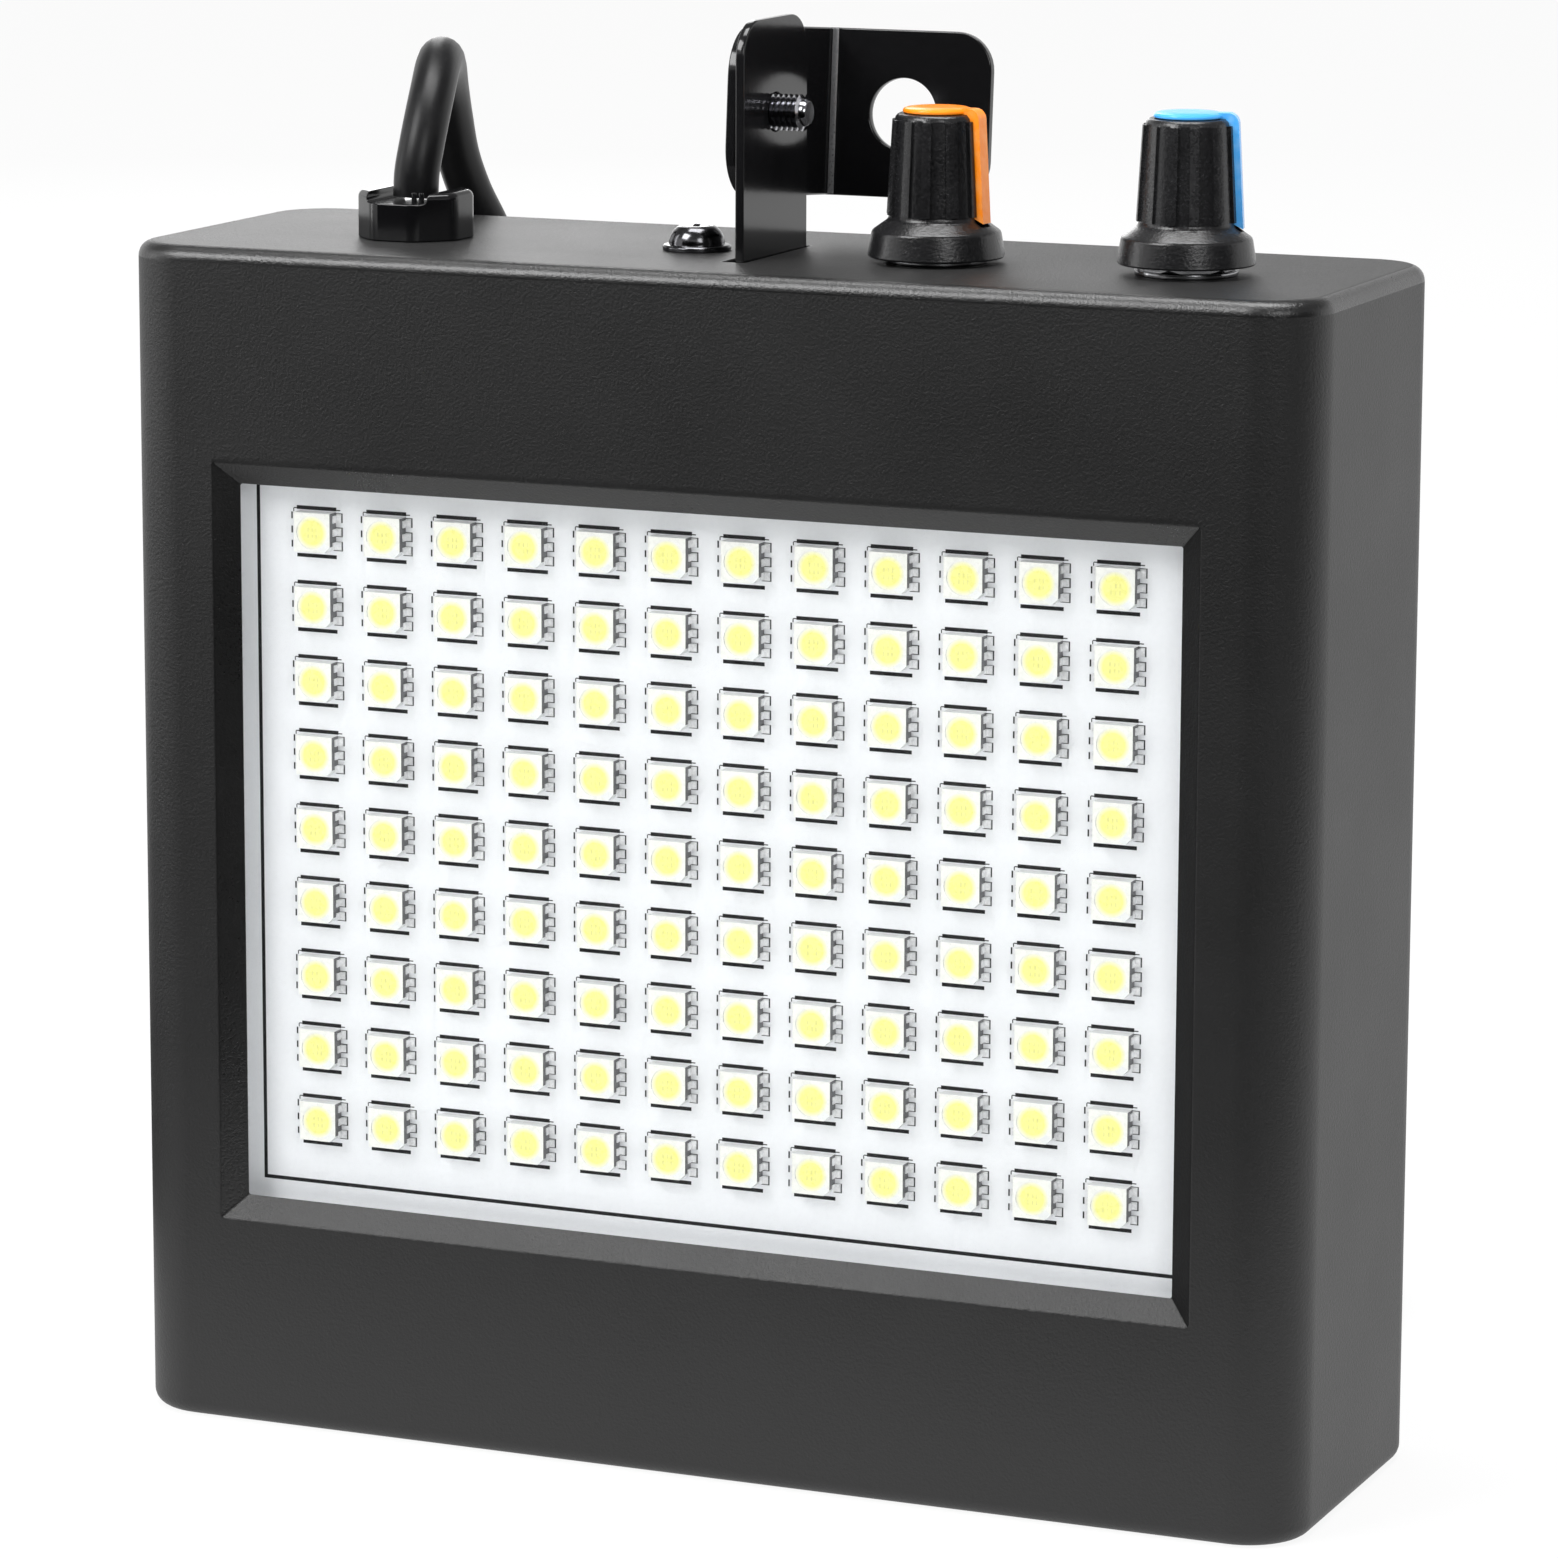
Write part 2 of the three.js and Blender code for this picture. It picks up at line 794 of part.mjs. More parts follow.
const capacitorShares = [-0.17, -0.2];
const rectifierShares = [-0.28, 0.08];
const chipShares = [0.06, -0.24];
const sinkShares = [0.22, 0.14];
const terminalShares = [-0.4, 0.32];

function bulkCapacitor() {
  const x = capacitorShares[0] * driverWidth;
  const z = driverCentreZ + capacitorShares[1] * driverHeight;
  const seat = driverFront - slip;
  const can = turned([
    [0, 0],
    [capacitorRadius, 0],
    [capacitorRadius, capacitorHeight - capacitorLip],
    [capacitorRadius - capacitorLip, capacitorHeight],
    [0, capacitorHeight],
  ]);
  return can.rotateX(Math.PI / 2).translate(x, seat, z);
}

add("bulk_capacitor", bulkCapacitor(), sleeveBlue);
add("bridge_rectifier", onBoard(rectifierSize, ...rectifierShares), chipBlack);
add("timer_chip", onBoard(chipSize, ...chipShares), chipBlack);
add("mains_terminal", onBoard(terminalSize, ...terminalShares), terminalGreen);

// The finned cooler stands on the board, and the transistor is clamped to its lower side.
function heatSink() {
  const x = sinkShares[0] * driverWidth;
  const z = driverCentreZ + sinkShares[1] * driverHeight;
  const seat = driverFront - slip;
  const left = x - sinkWidth / 2;
  const right = left + sinkWidth;
  const base = box([left, seat - sinkDepth, z - sinkBase / 2], [right, seat, z + sinkBase / 2]);
  const fins = [];
  for (let i = 0; i < sinkFins; i += 1) {
    const at = left + (i * (sinkWidth - sinkFin)) / (sinkFins - 1);
    fins.push(box([at, seat - sinkDepth, z], [at + sinkFin, seat, z + sinkHeight]));
  }
  return joined(base, ...fins);
}

function transistor() {
  const [across, thick, tall] = transistorSize;
  const x = sinkShares[0] * driverWidth;
  const top = driverCentreZ + sinkShares[1] * driverHeight - sinkBase / 2 - slip;
  const seat = driverFront - slip;
  return box([x - across / 2, seat - tall, top - thick], [x + across / 2, seat, top]);
}

add("heat_sink", heatSink(), aluminium);
add("switching_transistor", transistor(), chipBlack);

function microphone() {
  const seat = driverBack + slip;
  const end = seat + microphoneHeight;
  return rod(microphoneRadius, [microphoneX, seat, microphoneZ], [microphoneX, end, microphoneZ]);
}

add("microphone", microphone(), zincSteel);

// A smooth line through points
function lineThrough(points) {
  const places = points.map((point) => new THREE.Vector3(...point));
  return new THREE.CatmullRomCurve3(places, false, "centripetal");
}

// A closed tube or strip of the given section along a line
function swept(section, line, steps) {
  return new THREE.ExtrudeGeometry(section, { steps, extrudePath: line, curveSegments: 1 });
}

function polygon(radius, sides) {
  const points = [];
  for (let i = 0; i < sides; i += 1) {
    const angle = (2 * Math.PI * (i + 1 / 2)) / sides;
    points.push(new THREE.Vector2(radius * Math.cos(angle), radius * Math.sin(angle)));
  }
  return new THREE.Shape(points);
}

const ribbonShares = [0.02, 0.36];

function ledCable() {
  const x = ribbonShares[0] * driverWidth;
  const z = driverCentreZ + ribbonShares[1] * driverHeight;
  const from = driverFront - slip;
  const to = boardBack + slip;
  const reach = from - to;
  const line = lineThrough([
    [x, from, z],
    [x, from - reach / 4, z],
    [x, from - reach / 2, z + reach / 4],
    [x, to + reach / 4, z + reach / 2],
    [x, to, z + reach / 2],
  ]);
  return swept(rectangle(ribbonThickness, ribbonWidth), line, 2 * arcSteps);
}

add("led_cable", ledCable(), ribbonGrey);

function mainsTail() {
  const x = terminalShares[0] * driverWidth;
  const z = driverCentreZ + terminalShares[1] * driverHeight + terminalSize[2] / 2 + slip;
  const y = driverFront - slip - terminalSize[1] / 2;
  const top = glandBottom - slip;
  const fall = top - z;
  const line = lineThrough([
    [glandX, glandY, top],
    [glandX, glandY, top - fall / 4],
    [(glandX + x) / 2, (glandY + y) / 2, top - fall / 2],
    [x, y, z + fall / 4],
    [x, y, z],
  ]);
  return swept(polygon(tailRadius, cordSides), line, 2 * arcSteps);
}

add("mains_tail", mainsTail(), cordBlack);

// Cord gland: an eight-sided bush with two raised lobes beside the lead

function cordGland() {
  const corner = glandAcross / 2 / Math.cos(Math.PI / 8);
  const head = new THREE.CylinderGeometry(corner, corner, glandHeight, 8).rotateX(Math.PI / 2);
  head.rotateZ(Math.PI / 8).translate(glandX, glandY, height + glandHeight / 2 + slip);
  const neck = rod(glandNeckRadius, [glandX, glandY, glandBottom], [glandX, glandY, height + overrun]);
  const snapTop = topInside - slip;
  const snap = turned([
    [0, glandBottom],
    [glandNeckRadius, glandBottom],
    [glandSnapRadius, snapTop - overrun],
    [glandSnapRadius, snapTop],
    [0, snapTop],
  ]).translate(glandX, glandY, 0);
  const half = glandSaddleWidth / 2;
  const saddle = box(
    [glandX - half, glandY - glandAcross, glandFloor],
    [glandX + half, glandY + glandAcross, height + glandHeight + overrun],
  );
  return cut(joined(head, neck, snap), saddle);
}

add("cord_gland", cordGland(), glandBlack);

// Mounting ear: a bent strip whose foot is screwed under the top wall

function mountingEar() {
  const up = earTop - footBottom;
  const plate = sideways(
    roundRectangle(earWidth, up + 2 * earRadius, earRadius),
    earBack,
    earFace,
    rowY,
    earTop - up / 2 - earRadius,
  );
  const aboveFoot = box(
    [earBack - overrun, rowY - earWidth, footBottom],
    [earFace + overrun, rowY + earWidth, earTop + overrun],
  );
  const upperPart = common(plate, aboveFoot);
  const foot = box(
    [earFace - earFootReach, rowY - earWidth / 2, footBottom],
    [earFace, rowY + earWidth / 2, footTop],
  );
  const screwFoot = [screwX, rowY, footBottom - overrun];
  const screwTop = [screwX, rowY, footTop + overrun];
  const pivotLeft = [earBack - overrun, rowY, pivotZ];
  const pivotRight = [earFace + overrun, rowY, pivotZ];
  return cut(
    joined(upperPart, foot),
    rod(earScrewShank + closeFit, screwFoot, screwTop),
    rod(pivotShank + closeFit, pivotLeft, pivotRight),
  );
}

add("mounting_ear", mountingEar(), paintBlack);

function earScrew() {
  const domeFoot = earScrewFlangeHeight;
  const domeShoulder = (earScrewHeight + domeFoot) / 2;
  const body = turned([
    [0, -earScrewLength],
    [earScrewShank - closeFit, -earScrewLength],
    [earScrewShank, -earScrewLength + closeFit],
    [earScrewShank, 0],
    [earScrewFlange, 0],
    [earScrewFlange, domeFoot / 2],
    [earScrewDome, domeFoot],
    [earScrewDome * domeShare, domeShoulder],
    [earScrewDome * recessShare, earScrewHeight],
    [0, earScrewHeight],
  ]);
  const recess = crossSlot(earScrewHeight, earScrewDome * recessShare, crossWidth, 2 * crossDepth);
  return cut(body, recess).translate(screwX, rowY, height + slip);
}

add("ear_screw", earScrew(), screwBlack);

// Swivel bracket: an upright strip beside the ear that bends round behind it into a plate with a hole

const bracketGroup = new THREE.Group();
bracketGroup.position.set(0, rowY, pivotZ);
bracketGroup.rotation.x = bracketTilt;
part.add(bracketGroup);

function bracketStrip() {
  const outer = bracketBend + bracketThickness;
  const plateFront = bracketPlateGap;
  const plateBack = plateFront + bracketThickness;
  const right = legBack + bracketReach;
  const plan = new THREE.Shape();
  plan.moveTo(legBack, -bracketLegFront);
  plan.lineTo(legFace, -bracketLegFront);
  plan.absarc(legFace + bracketBend, plateFront - bracketBend, bracketBend, Math.PI, Math.PI / 2, true);
  plan.lineTo(right, plateFront);
  plan.lineTo(right, plateBack);
  plan.absarc(legBack + outer, plateBack - outer, outer, Math.PI / 2, Math.PI, false);
  plan.closePath();
  return upright(plan, -bracketHeight / 2, bracketHeight / 2);
}

function swivelBracket() {
  const far = bracketPlateGap + bracketThickness;
  const long = bracketLegFront + far;
  const legOutline = roundRectangle(long + 2 * legRadius, bracketHeight, legRadius);
  const right = legBack + bracketReach;
  const plateOutline = roundRectangle(bracketReach + 2 * plateRadius, bracketHeight, plateRadius);
  const middleOfLeg = -bracketLegFront + long / 2 + legRadius;
  const middleOfPlate = right - bracketReach / 2 - plateRadius;
  const roundLeg = sideways(legOutline, legBack - overrun, right + overrun, middleOfLeg);
  const front = -bracketLegFront - overrun;
  const roundPlate = backward(plateOutline, front, far + overrun, middleOfPlate);
  const strip = common(common(bracketStrip(), roundLeg), roundPlate);
  const holeX = legBack + mountHoleFromLeg;
  return cut(
    strip,
    rod(pivotShank + looseFit, [legBack - overrun, 0, 0], [legFace + overrun, 0, 0]),
    rod(mountHoleRadius, [holeX, bracketPlateGap - overrun, 0], [holeX, far + overrun, 0]),
  );
}

add("swivel_bracket", swivelBracket(), paintBlack, bracketGroup);

function pivotScrew() {
  const headFace = legBack - looseFit;
  const tip = earFace + pivotStickOut;
  const long = tip - headFace;
  const body = turned([
    [0, -long],
    [pivotShank - pivotTipChamfer, -long],
    [pivotShank, -long + pivotTipChamfer],
    [pivotShank, 0],
    [pivotHead, 0],
    [pivotHead, pivotHeadHeight / 2],
    [pivotHead * recessShare, pivotHeadHeight],
    [0, pivotHeadHeight],
  ]);
  const recess = crossSlot(pivotHeadHeight, pivotHead * recessShare, crossWidth, crossDepth);
  return cut(body, recess).rotateY(-Math.PI / 2).translate(headFace, rowY, pivotZ);
}

add("pivot_screw", pivotScrew(), screwBlack);

// Potentiometers

function potBody(x) {
  const top = topInside - slip;
  const can = rod(potRadius, [x, rowY, top - potDepth], [x, rowY, top]);
  const bush = rod(bushRadius, [x, rowY, top - overrun], [x, rowY, top + wall + bushHeight]);
  const pieces = [can, bush];
  for (const step of [-1, 0, 1]) {
    const at = x + step * lugSpacing;
    const back = rowY + potRadius / 2;
    pieces.push(
      box(
        [at - lugWidth / 2, back, top - potDepth / 2],
        [at + lugWidth / 2, back + lugLength + potRadius / 2, top - potDepth / 2 + lugThickness],
      ),
    );
  }
  const bore = rod(
    shaftRadius + runningFit,
    [x, rowY, top - shaftBelow - looseFit],
    [x, rowY, top + wall + bushHeight + overrun],
  );
  return cut(joined(...pieces), bore);
}

function potWasher(x) {
  const bottom = height + slip;
  const top = bottom + potWasherThickness;
  return cut(
    rod(potWasherRadius, [x, rowY, bottom], [x, rowY, top]),
    rod(bushRadius + closeFit, [x, rowY, bottom - overrun], [x, rowY, top + overrun]),
  );
}

function potShaft() {
  const bottom = topInside - slip - shaftBelow;
  return rod(shaftRadius, [0, 0, bottom], [0, 0, height + shaftAbove]);
}

// Knob: a skirt, a sloping shoulder and a ridged grip, hollow underneath

function knobRing(radius, z, ridge) {
  const sides = ridges * ridgeSteps;
  const points = [];
  for (let i = 0; i < sides; i += 1) {
    const angle = (2 * Math.PI * i) / sides;
    const raised = i % ridgeSteps < 2 ? ridge : 0;
    points.push([(radius + raised) * Math.cos(angle), (radius + raised) * Math.sin(angle), z]);
  }
  return points;
}

function pointerOutline(inward, extra) {
  const top = knobHeight - capRim;
  const outline = new THREE.Shape();
  outline.moveTo(0, knobNeckHeight - inward);
  outline.lineTo(knobNeck - pointerDepth / 2, knobNeckHeight - inward);
  outline.lineTo(knobFoot - pointerDepth / 2 - inward, knobFootHeight);
  outline.lineTo(pointerFoot, pointerTip);
  outline.lineTo(pointerFoot + extra, knobFootHeight);
  outline.lineTo(pointerTop + extra, top - pointerDepth);
  outline.quadraticCurveTo(pointerTop + extra, top + extra, pointerTop - pointerDepth, top + extra);
  outline.lineTo(0, top + extra);
  outline.closePath();
  return outline;
}

// The pointer runs along +X; inward and extra leave room round it when it is used to cut its own seat.
function pointerStrip(inward, extra, across) {
  return backward(pointerOutline(inward, extra), -across / 2, across / 2);
}

function knobBody() {
  const bodyTop = knobNeckHeight;
  const rings = [
    knobRing(knobSkirt, 0, 0),
    knobRing(skirtTop, skirtHeight, 0),
    knobRing(knobFoot + ridgeHeight / 2, knobFootHeight - ridgeHeight, 0),
    knobRing(knobFoot, knobFootHeight, ridgeHeight),
    knobRing(knobNeck, bodyTop - capRim / 2, ridgeHeight),
    knobRing(knobNeck - capRim / 2, bodyTop, ridgeHeight / 2),
  ];
  return cut(
    loft(rings),
    rod(recessRadius, [0, 0, -overrun], [0, 0, recessHeight]),
    rod(shaftRadius + closeFit, [0, 0, 0], [0, 0, knobBoreTop]),
    pointerStrip(closeFit, overrun, pointerWidth + 2 * closeFit),
  );
}

function knobCap() {
  const seat = knobNeckHeight + closeFit;
  const rim = knobHeight - capRim;
  const disc = turned([
    [0, seat],
    [capRadius, seat],
    [capRadius, rim],
    [capRadius - capRim, knobHeight - capRim / 3],
    [capRadius / 2, knobHeight],
    [0, knobHeight],
  ]);
  return joined(disc, pointerStrip(0, 0, pointerWidth));
}

function addControl(name, x, lift, angle, capMaterial) {
  add(name + "_pot_body", potBody(x), zincSteel);
  add(name + "_pot_washer", potWasher(x), zincSteel);
  const nutBottom = height + 2 * slip + potWasherThickness;
  add(
    name + "_pot_nut",
    hexNut(potNutFlats, bushRadius + closeFit, potNutHeight, x, rowY, nutBottom),
    zincSteel,
  );
  const turning = new THREE.Group();
  turning.position.set(x, rowY, 0);
  turning.rotation.z = angle;
  part.add(turning);
  add(name + "_pot_shaft", potShaft(), aluminium, turning);
  const knobGroup = new THREE.Group();
  knobGroup.position.z = height + lift;
  turning.add(knobGroup);
  add(name + "_knob", knobBody(), knobBlack, knobGroup);
  add(name + "_knob_cap", knobCap(), capMaterial, knobGroup);
}

addControl("speed", speedX, speedKnobLift, speedPointerAngle, capOrange);
addControl("sound", soundX, soundKnobLift, soundPointerAngle, capBlue);

// Mains lead: over the back edge, down to the surface and into a neat round coil behind the housing.
// The turns spiral in on the surface, climb a layer where they turn back, and spiral out on top.

function coilRadius(angle) {
  return coilInner + (coilPitch * Math.abs(angle - coilAngle / 2)) / (2 * Math.PI);
}

function coilPoint(angle) {
  const half = coilAngle / 2;
  const climb = THREE.MathUtils.smoothstep(angle, half - Math.PI / 2, half + Math.PI / 2);
  const round = angle - Math.PI / 2;
  return new THREE.Vector3(
    coilX + coilRadius(angle) * Math.cos(round),
    coilY + coilRadius(angle) * Math.sin(round),
    coilBottomZ + climb * (coilTopZ - coilBottomZ),
  );
}

function coilWay(angle) {
  const step = 1e-3;
  const from = coilPoint(Math.max(0, angle - step));
  const to = coilPoint(Math.min(coilAngle, angle + step));
  return to.sub(from).normalize();
}

const coilIn = coilPoint(0).addScaledVector(coilWay(0), -cordDiameter);
const coilOut = coilPoint(coilAngle).addScaledVector(coilWay(coilAngle), cordDiameter);

// The coil's line: a straight diameter in, the turns, and a straight diameter out
class CoilLine extends THREE.Curve {
  getPoint(share, target = new THREE.Vector3()) {
    const turnsLength = Math.PI * coilMiddle * coilTurns;
    const whole = turnsLength + 2 * cordDiameter;
    const along = share * whole;
    if (along < cordDiameter) {
      return target.copy(coilIn).lerp(coilPoint(0), along / cordDiameter);
    }
    if (along > whole - cordDiameter) {
      const rest = (whole - along) / cordDiameter;
      return target.copy(coilOut).lerp(coilPoint(coilAngle), rest);
    }
    return target.copy(coilPoint(((along - cordDiameter) / turnsLength) * coilAngle));
  }
}

const coilLine = new CoilLine();
const coilSteps = Math.ceil(coilTurns * coilStepsPerTurn) + 2;

function cordLine() {
  const start = [glandX, glandY, glandFloor + looseFit];
  const end = coilIn.clone().addScaledVector(coilWay(0), -looseFit);
  const before = end.clone().addScaledVector(coilWay(0), -cordDiameter);
  return lineThrough([start, ...cordRoute, before.toArray(), end.toArray()]);
}

add("cord", swept(polygon(cordRadius, cordSides), cordLine(), cordSteps), cordBlack);
add("cord_coil", swept(polygon(cordRadius, coilSides), coilLine, coilSteps), cordBlack);

// Least distance between stretches of the coil that lie more than three diameters apart along it
function leastCoilGap() {
  const count = 4 * coilSteps;
  const points = coilLine.getSpacedPoints(count);
  const apart = Math.ceil((3 * cordDiameter) / (coilLine.getLength() / count));
  let least = Infinity;
  for (let i = 0; i < points.length; i += 1) {
    for (let j = i + apart; j < points.length; j += 1) {
      least = Math.min(least, points[i].distanceTo(points[j]));
    }
  }
  return least - cordDiameter;
}

console.log("least gap of the coil to itself: " + leastCoilGap().toFixed(2) + " mm");
console.log("length of the free lead: " + cordLine().getLength().toFixed(1) + " mm");
console.log("length in the coil: " + coilLine.getLength().toFixed(1) + " mm");

// The tie goes round the bundle of turns on the left side of the coil.
function cordTie() {
  const radii = [];
  for (let angle = 2 * Math.PI * tieTurns; angle < coilAngle; angle += 2 * Math.PI) {
    radii.push(coilRadius(angle));
  }
  const inner = Math.min(...radii);
  const outer = Math.max(...radii);
  const across = outer - inner + cordDiameter + 2 * looseFit;
  const up = coilTopZ - coilBottomZ + cordDiameter + 2 * looseFit;
  const ring = roundRectangle(
    across + 2 * tieThickness,
    up + 2 * tieThickness,
    tieRadius + tieThickness,
  );
  ring.holes.push(roundRectangle(across, up, tieRadius));
  const middleX = coilX - (inner + outer) / 2;
  const middleOfTurns = (coilBottomZ + coilTopZ) / 2;
  const front = coilY - tieWidth / 2;
  return backward(ring, front, front + tieWidth, middleX, middleOfTurns, smallArcSteps);
}

add("cord_tie", cordTie(), tieBlack);

// Plug: a moulded body with a tapering neck and two flat blades, lying on the surface beside the coil

const plugGroup = new THREE.Group();
plugGroup.position.copy(coilOut).addScaledVector(coilWay(coilAngle), looseFit);
plugGroup.rotation.z = Math.atan2(coilWay(coilAngle).y, coilWay(coilAngle).x) - Math.PI / 2;
part.add(plugGroup);

// The body's outline seen from above, with sloping shoulders, drawn along +Y
function plugOutline() {
  const outline = new THREE.Shape();
  const half = plugWidth / 2;
  const halfShoulder = plugShoulderWidth / 2;
  const start = plugNeckLength;
  const end = plugNeckLength + plugLength;
  outline.moveTo(-halfShoulder, start);
  outline.lineTo(halfShoulder, start);
  outline.quadraticCurveTo(half, start + plugShoulder / 3, half, start + plugShoulder);
  outline.lineTo(half, end);
  outline.lineTo(-half, end);
  outline.lineTo(-half, start + plugShoulder);
  outline.quadraticCurveTo(-half, start + plugShoulder / 3, -halfShoulder, start);
  return outline;
}

function plugBody() {
  const neck = turned([
    [0, 0],
    [plugNeckThin, 0],
    [plugNeckRadius, plugNeckLength + overrun],
    [0, plugNeckLength + overrun],
  ]).rotateX(-Math.PI / 2);
  const halfHeight = coilTopZ - slip;
  const settings = {
    depth: 2 * (halfHeight - plugEdge),
    bevelSize: plugEdge,
    bevelOffset: -plugEdge,
    bevelThickness: plugEdge,
    bevelSegments: bevelSteps,
    curveSegments: smallArcSteps,
  };
  const block = new THREE.ExtrudeGeometry(plugOutline(), settings);
  block.translate(0, 0, plugEdge - halfHeight);
  const face = plugNeckLength + plugLength;
  const slots = [-1, 1].map((side) => bladeAt(side, face - bladeRoot - closeFit, closeFit));
  return cut(joined(neck, block), ...slots);
}

function bladeAt(side, root, grow) {
  const x = (side * bladeSpacing) / 2;
  const halfThick = bladeThickness / 2 + grow;
  const halfWide = bladeWidth / 2 + grow;
  const tip = plugNeckLength + plugLength + bladeLength;
  const outline = new THREE.Shape();
  outline.moveTo(-halfThick, root);
  outline.lineTo(halfThick, root);
  outline.lineTo(halfThick, tip - bladeChamfer);
  outline.lineTo(halfThick / 3, tip);
  outline.lineTo(-halfThick / 3, tip);
  outline.lineTo(-halfThick, tip - bladeChamfer);
  outline.closePath();
  return upright(outline, -halfWide, halfWide).translate(x, 0, 0);
}

add("plug_body", plugBody(), plugBlack, plugGroup);
[-1, 1].forEach((side, i) => {
  const root = plugNeckLength + plugLength - bladeRoot;
  add("plug_blade_" + (i + 1), bladeAt(side, root, 0), brass, plugGroup);
});

export default part;
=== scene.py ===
# %% [markdown]
# # A small strobe light
#
# The real object is a moulded black box with a window full of light-emitting diodes. On its top stand a
# cord gland, a bent steel ear with a swivel bracket, and two control knobs. A mains lead runs over the
# back edge into a coil behind the box. The construction model gives every size and place. This script
# dresses it: it models the visible pieces finely, and gives every surface its finish.
#
# The fixed frame is loaded first, and sizes and places are read from its parts.

# %% Load the fixed frame
import math

import bmesh
import bpy
from mathutils import Matrix, Vector


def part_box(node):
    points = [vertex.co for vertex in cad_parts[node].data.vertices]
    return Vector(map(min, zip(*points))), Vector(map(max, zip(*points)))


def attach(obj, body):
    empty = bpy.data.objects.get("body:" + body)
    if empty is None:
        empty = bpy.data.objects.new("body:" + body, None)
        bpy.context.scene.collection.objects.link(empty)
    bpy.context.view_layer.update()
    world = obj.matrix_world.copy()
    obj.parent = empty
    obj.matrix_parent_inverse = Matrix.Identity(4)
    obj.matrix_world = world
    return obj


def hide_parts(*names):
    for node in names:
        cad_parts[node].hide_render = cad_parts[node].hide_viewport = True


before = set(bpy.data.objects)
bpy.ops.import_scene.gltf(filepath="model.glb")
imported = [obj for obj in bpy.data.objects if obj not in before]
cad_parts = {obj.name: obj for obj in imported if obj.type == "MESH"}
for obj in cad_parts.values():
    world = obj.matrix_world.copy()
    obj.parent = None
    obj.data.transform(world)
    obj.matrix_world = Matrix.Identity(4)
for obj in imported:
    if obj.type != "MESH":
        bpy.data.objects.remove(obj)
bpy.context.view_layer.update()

MM = 0.001


# %% [markdown]
# ## The camera
#
# A photograph fixes its own camera. The edges of the housing meet at known angles, so the place, the
# three angles and the focal length were solved from their corners by least squares. The
# lens is long, and the camera looks a little down and from the right.

# %% Set the camera
PHOTO_SIDE = 1558
FOCAL_PIXELS = 6583.67
CAMERA_PLACE = Vector((0.28172, -0.66671, 0.21487))
AZIMUTH, ELEVATION, ROLL = (math.radians(angle) for angle in (22.8356, 10.9181, 0.2006))


def camera_turn(azimuth, elevation, roll):
    """The camera's axes as a matrix: it looks along its own -Z."""
    level = math.cos(elevation)
    back = Vector((math.sin(azimuth) * level, -math.cos(azimuth) * level, math.sin(elevation)))
    right = Vector((math.cos(azimuth), math.sin(azimuth), 0))
    up = back.cross(right)
    rolled_right = right * math.cos(roll) + up * math.sin(roll)
    rolled_up = up * math.cos(roll) - right * math.sin(roll)
    return Matrix((rolled_right, rolled_up, back)).transposed()


bpy.ops.object.select_all(action="DESELECT")
bpy.ops.object.camera_add(location=CAMERA_PLACE)
camera = bpy.context.active_object
camera.name = "camera"
camera.rotation_euler = camera_turn(AZIMUTH, ELEVATION, ROLL).to_euler()
camera.data.lens = FOCAL_PIXELS * camera.data.sensor_width / PHOTO_SIDE
camera.data.clip_start = 0.01
bpy.context.scene.camera = camera
bpy.context.scene.view_settings.view_transform = "Standard"
print("camera: lens", round(camera.data.lens, 1), "mm")

# %% [markdown]
# ## Building shaders by hand in code
#
# A material is a tree of nodes. A few small helpers keep the trees readable: they add a node and feed its
# sockets, do arithmetic, mix two colours, and spread one range of values over another. A socket can be
# fed a plain value or the output of another node.

# %% Helpers for shader trees


def feed(tree, socket, value):
    """Gives a socket a plain value, or wires another node's output to it."""
    if isinstance(value, bpy.types.NodeSocket):
        tree.links.new(value, socket)
    else:
        socket.default_value = value


def feed_all(tree, made, **inputs):
    """Feeds a node's inputs by name. An underscore stands for a space."""
    for name, value in inputs.items():
        feed(tree, made.inputs[name.replace("_", " ")], value)
    return made


def add_node(tree, kind, settings=None, **inputs):
    made = tree.nodes.new("ShaderNode" + kind)
    for name, value in (settings or {}).items():
        setattr(made, name, value)
    return feed_all(tree, made, **inputs)


def maths(tree, operation, *values, clamp=False):
    made = add_node(tree, "Math", {"operation": operation, "use_clamp": clamp})
    for socket, value in zip(made.inputs, values):
        feed(tree, socket, value)
    return made.outputs[0]


def times(tree, first, second):
    return maths(tree, "MULTIPLY", first, second)


def largest(tree, *values):
    """The largest of several values, compared two at a time."""
    most = values[0]
    for value in values[1:]:
        most = maths(tree, "MAXIMUM", most, value)
    return most


def mix_colour(tree, share, first, second, blend="MIX"):
    made = add_node(tree, "Mix", {"data_type": "RGBA", "blend_type": blend})
    for index, value in ((0, share), (6, first), (7, second)):
        feed(tree, made.inputs[index], value)
    return made.outputs[2]


def ramp(tree, value, low, high, bottom=0.0, top=1.0):
    """Spreads low..high over bottom..top, and holds the ends."""
    made = add_node(tree, "MapRange", {"clamp": True})
    for socket, number in zip(made.inputs, (value, low, high, bottom, top)):
        feed(tree, socket, number)
    return made.outputs[0]


def grey(level):
    return (level, level, level, 1)


def blank_material(name):
    """A material whose tree is still empty."""
    material = bpy.data.materials.new(name)
    material.use_nodes = True
    material.node_tree.nodes.clear()
    return material, material.node_tree


print("shader helpers: feed, add_node, maths, times, largest, mix_colour, ramp")

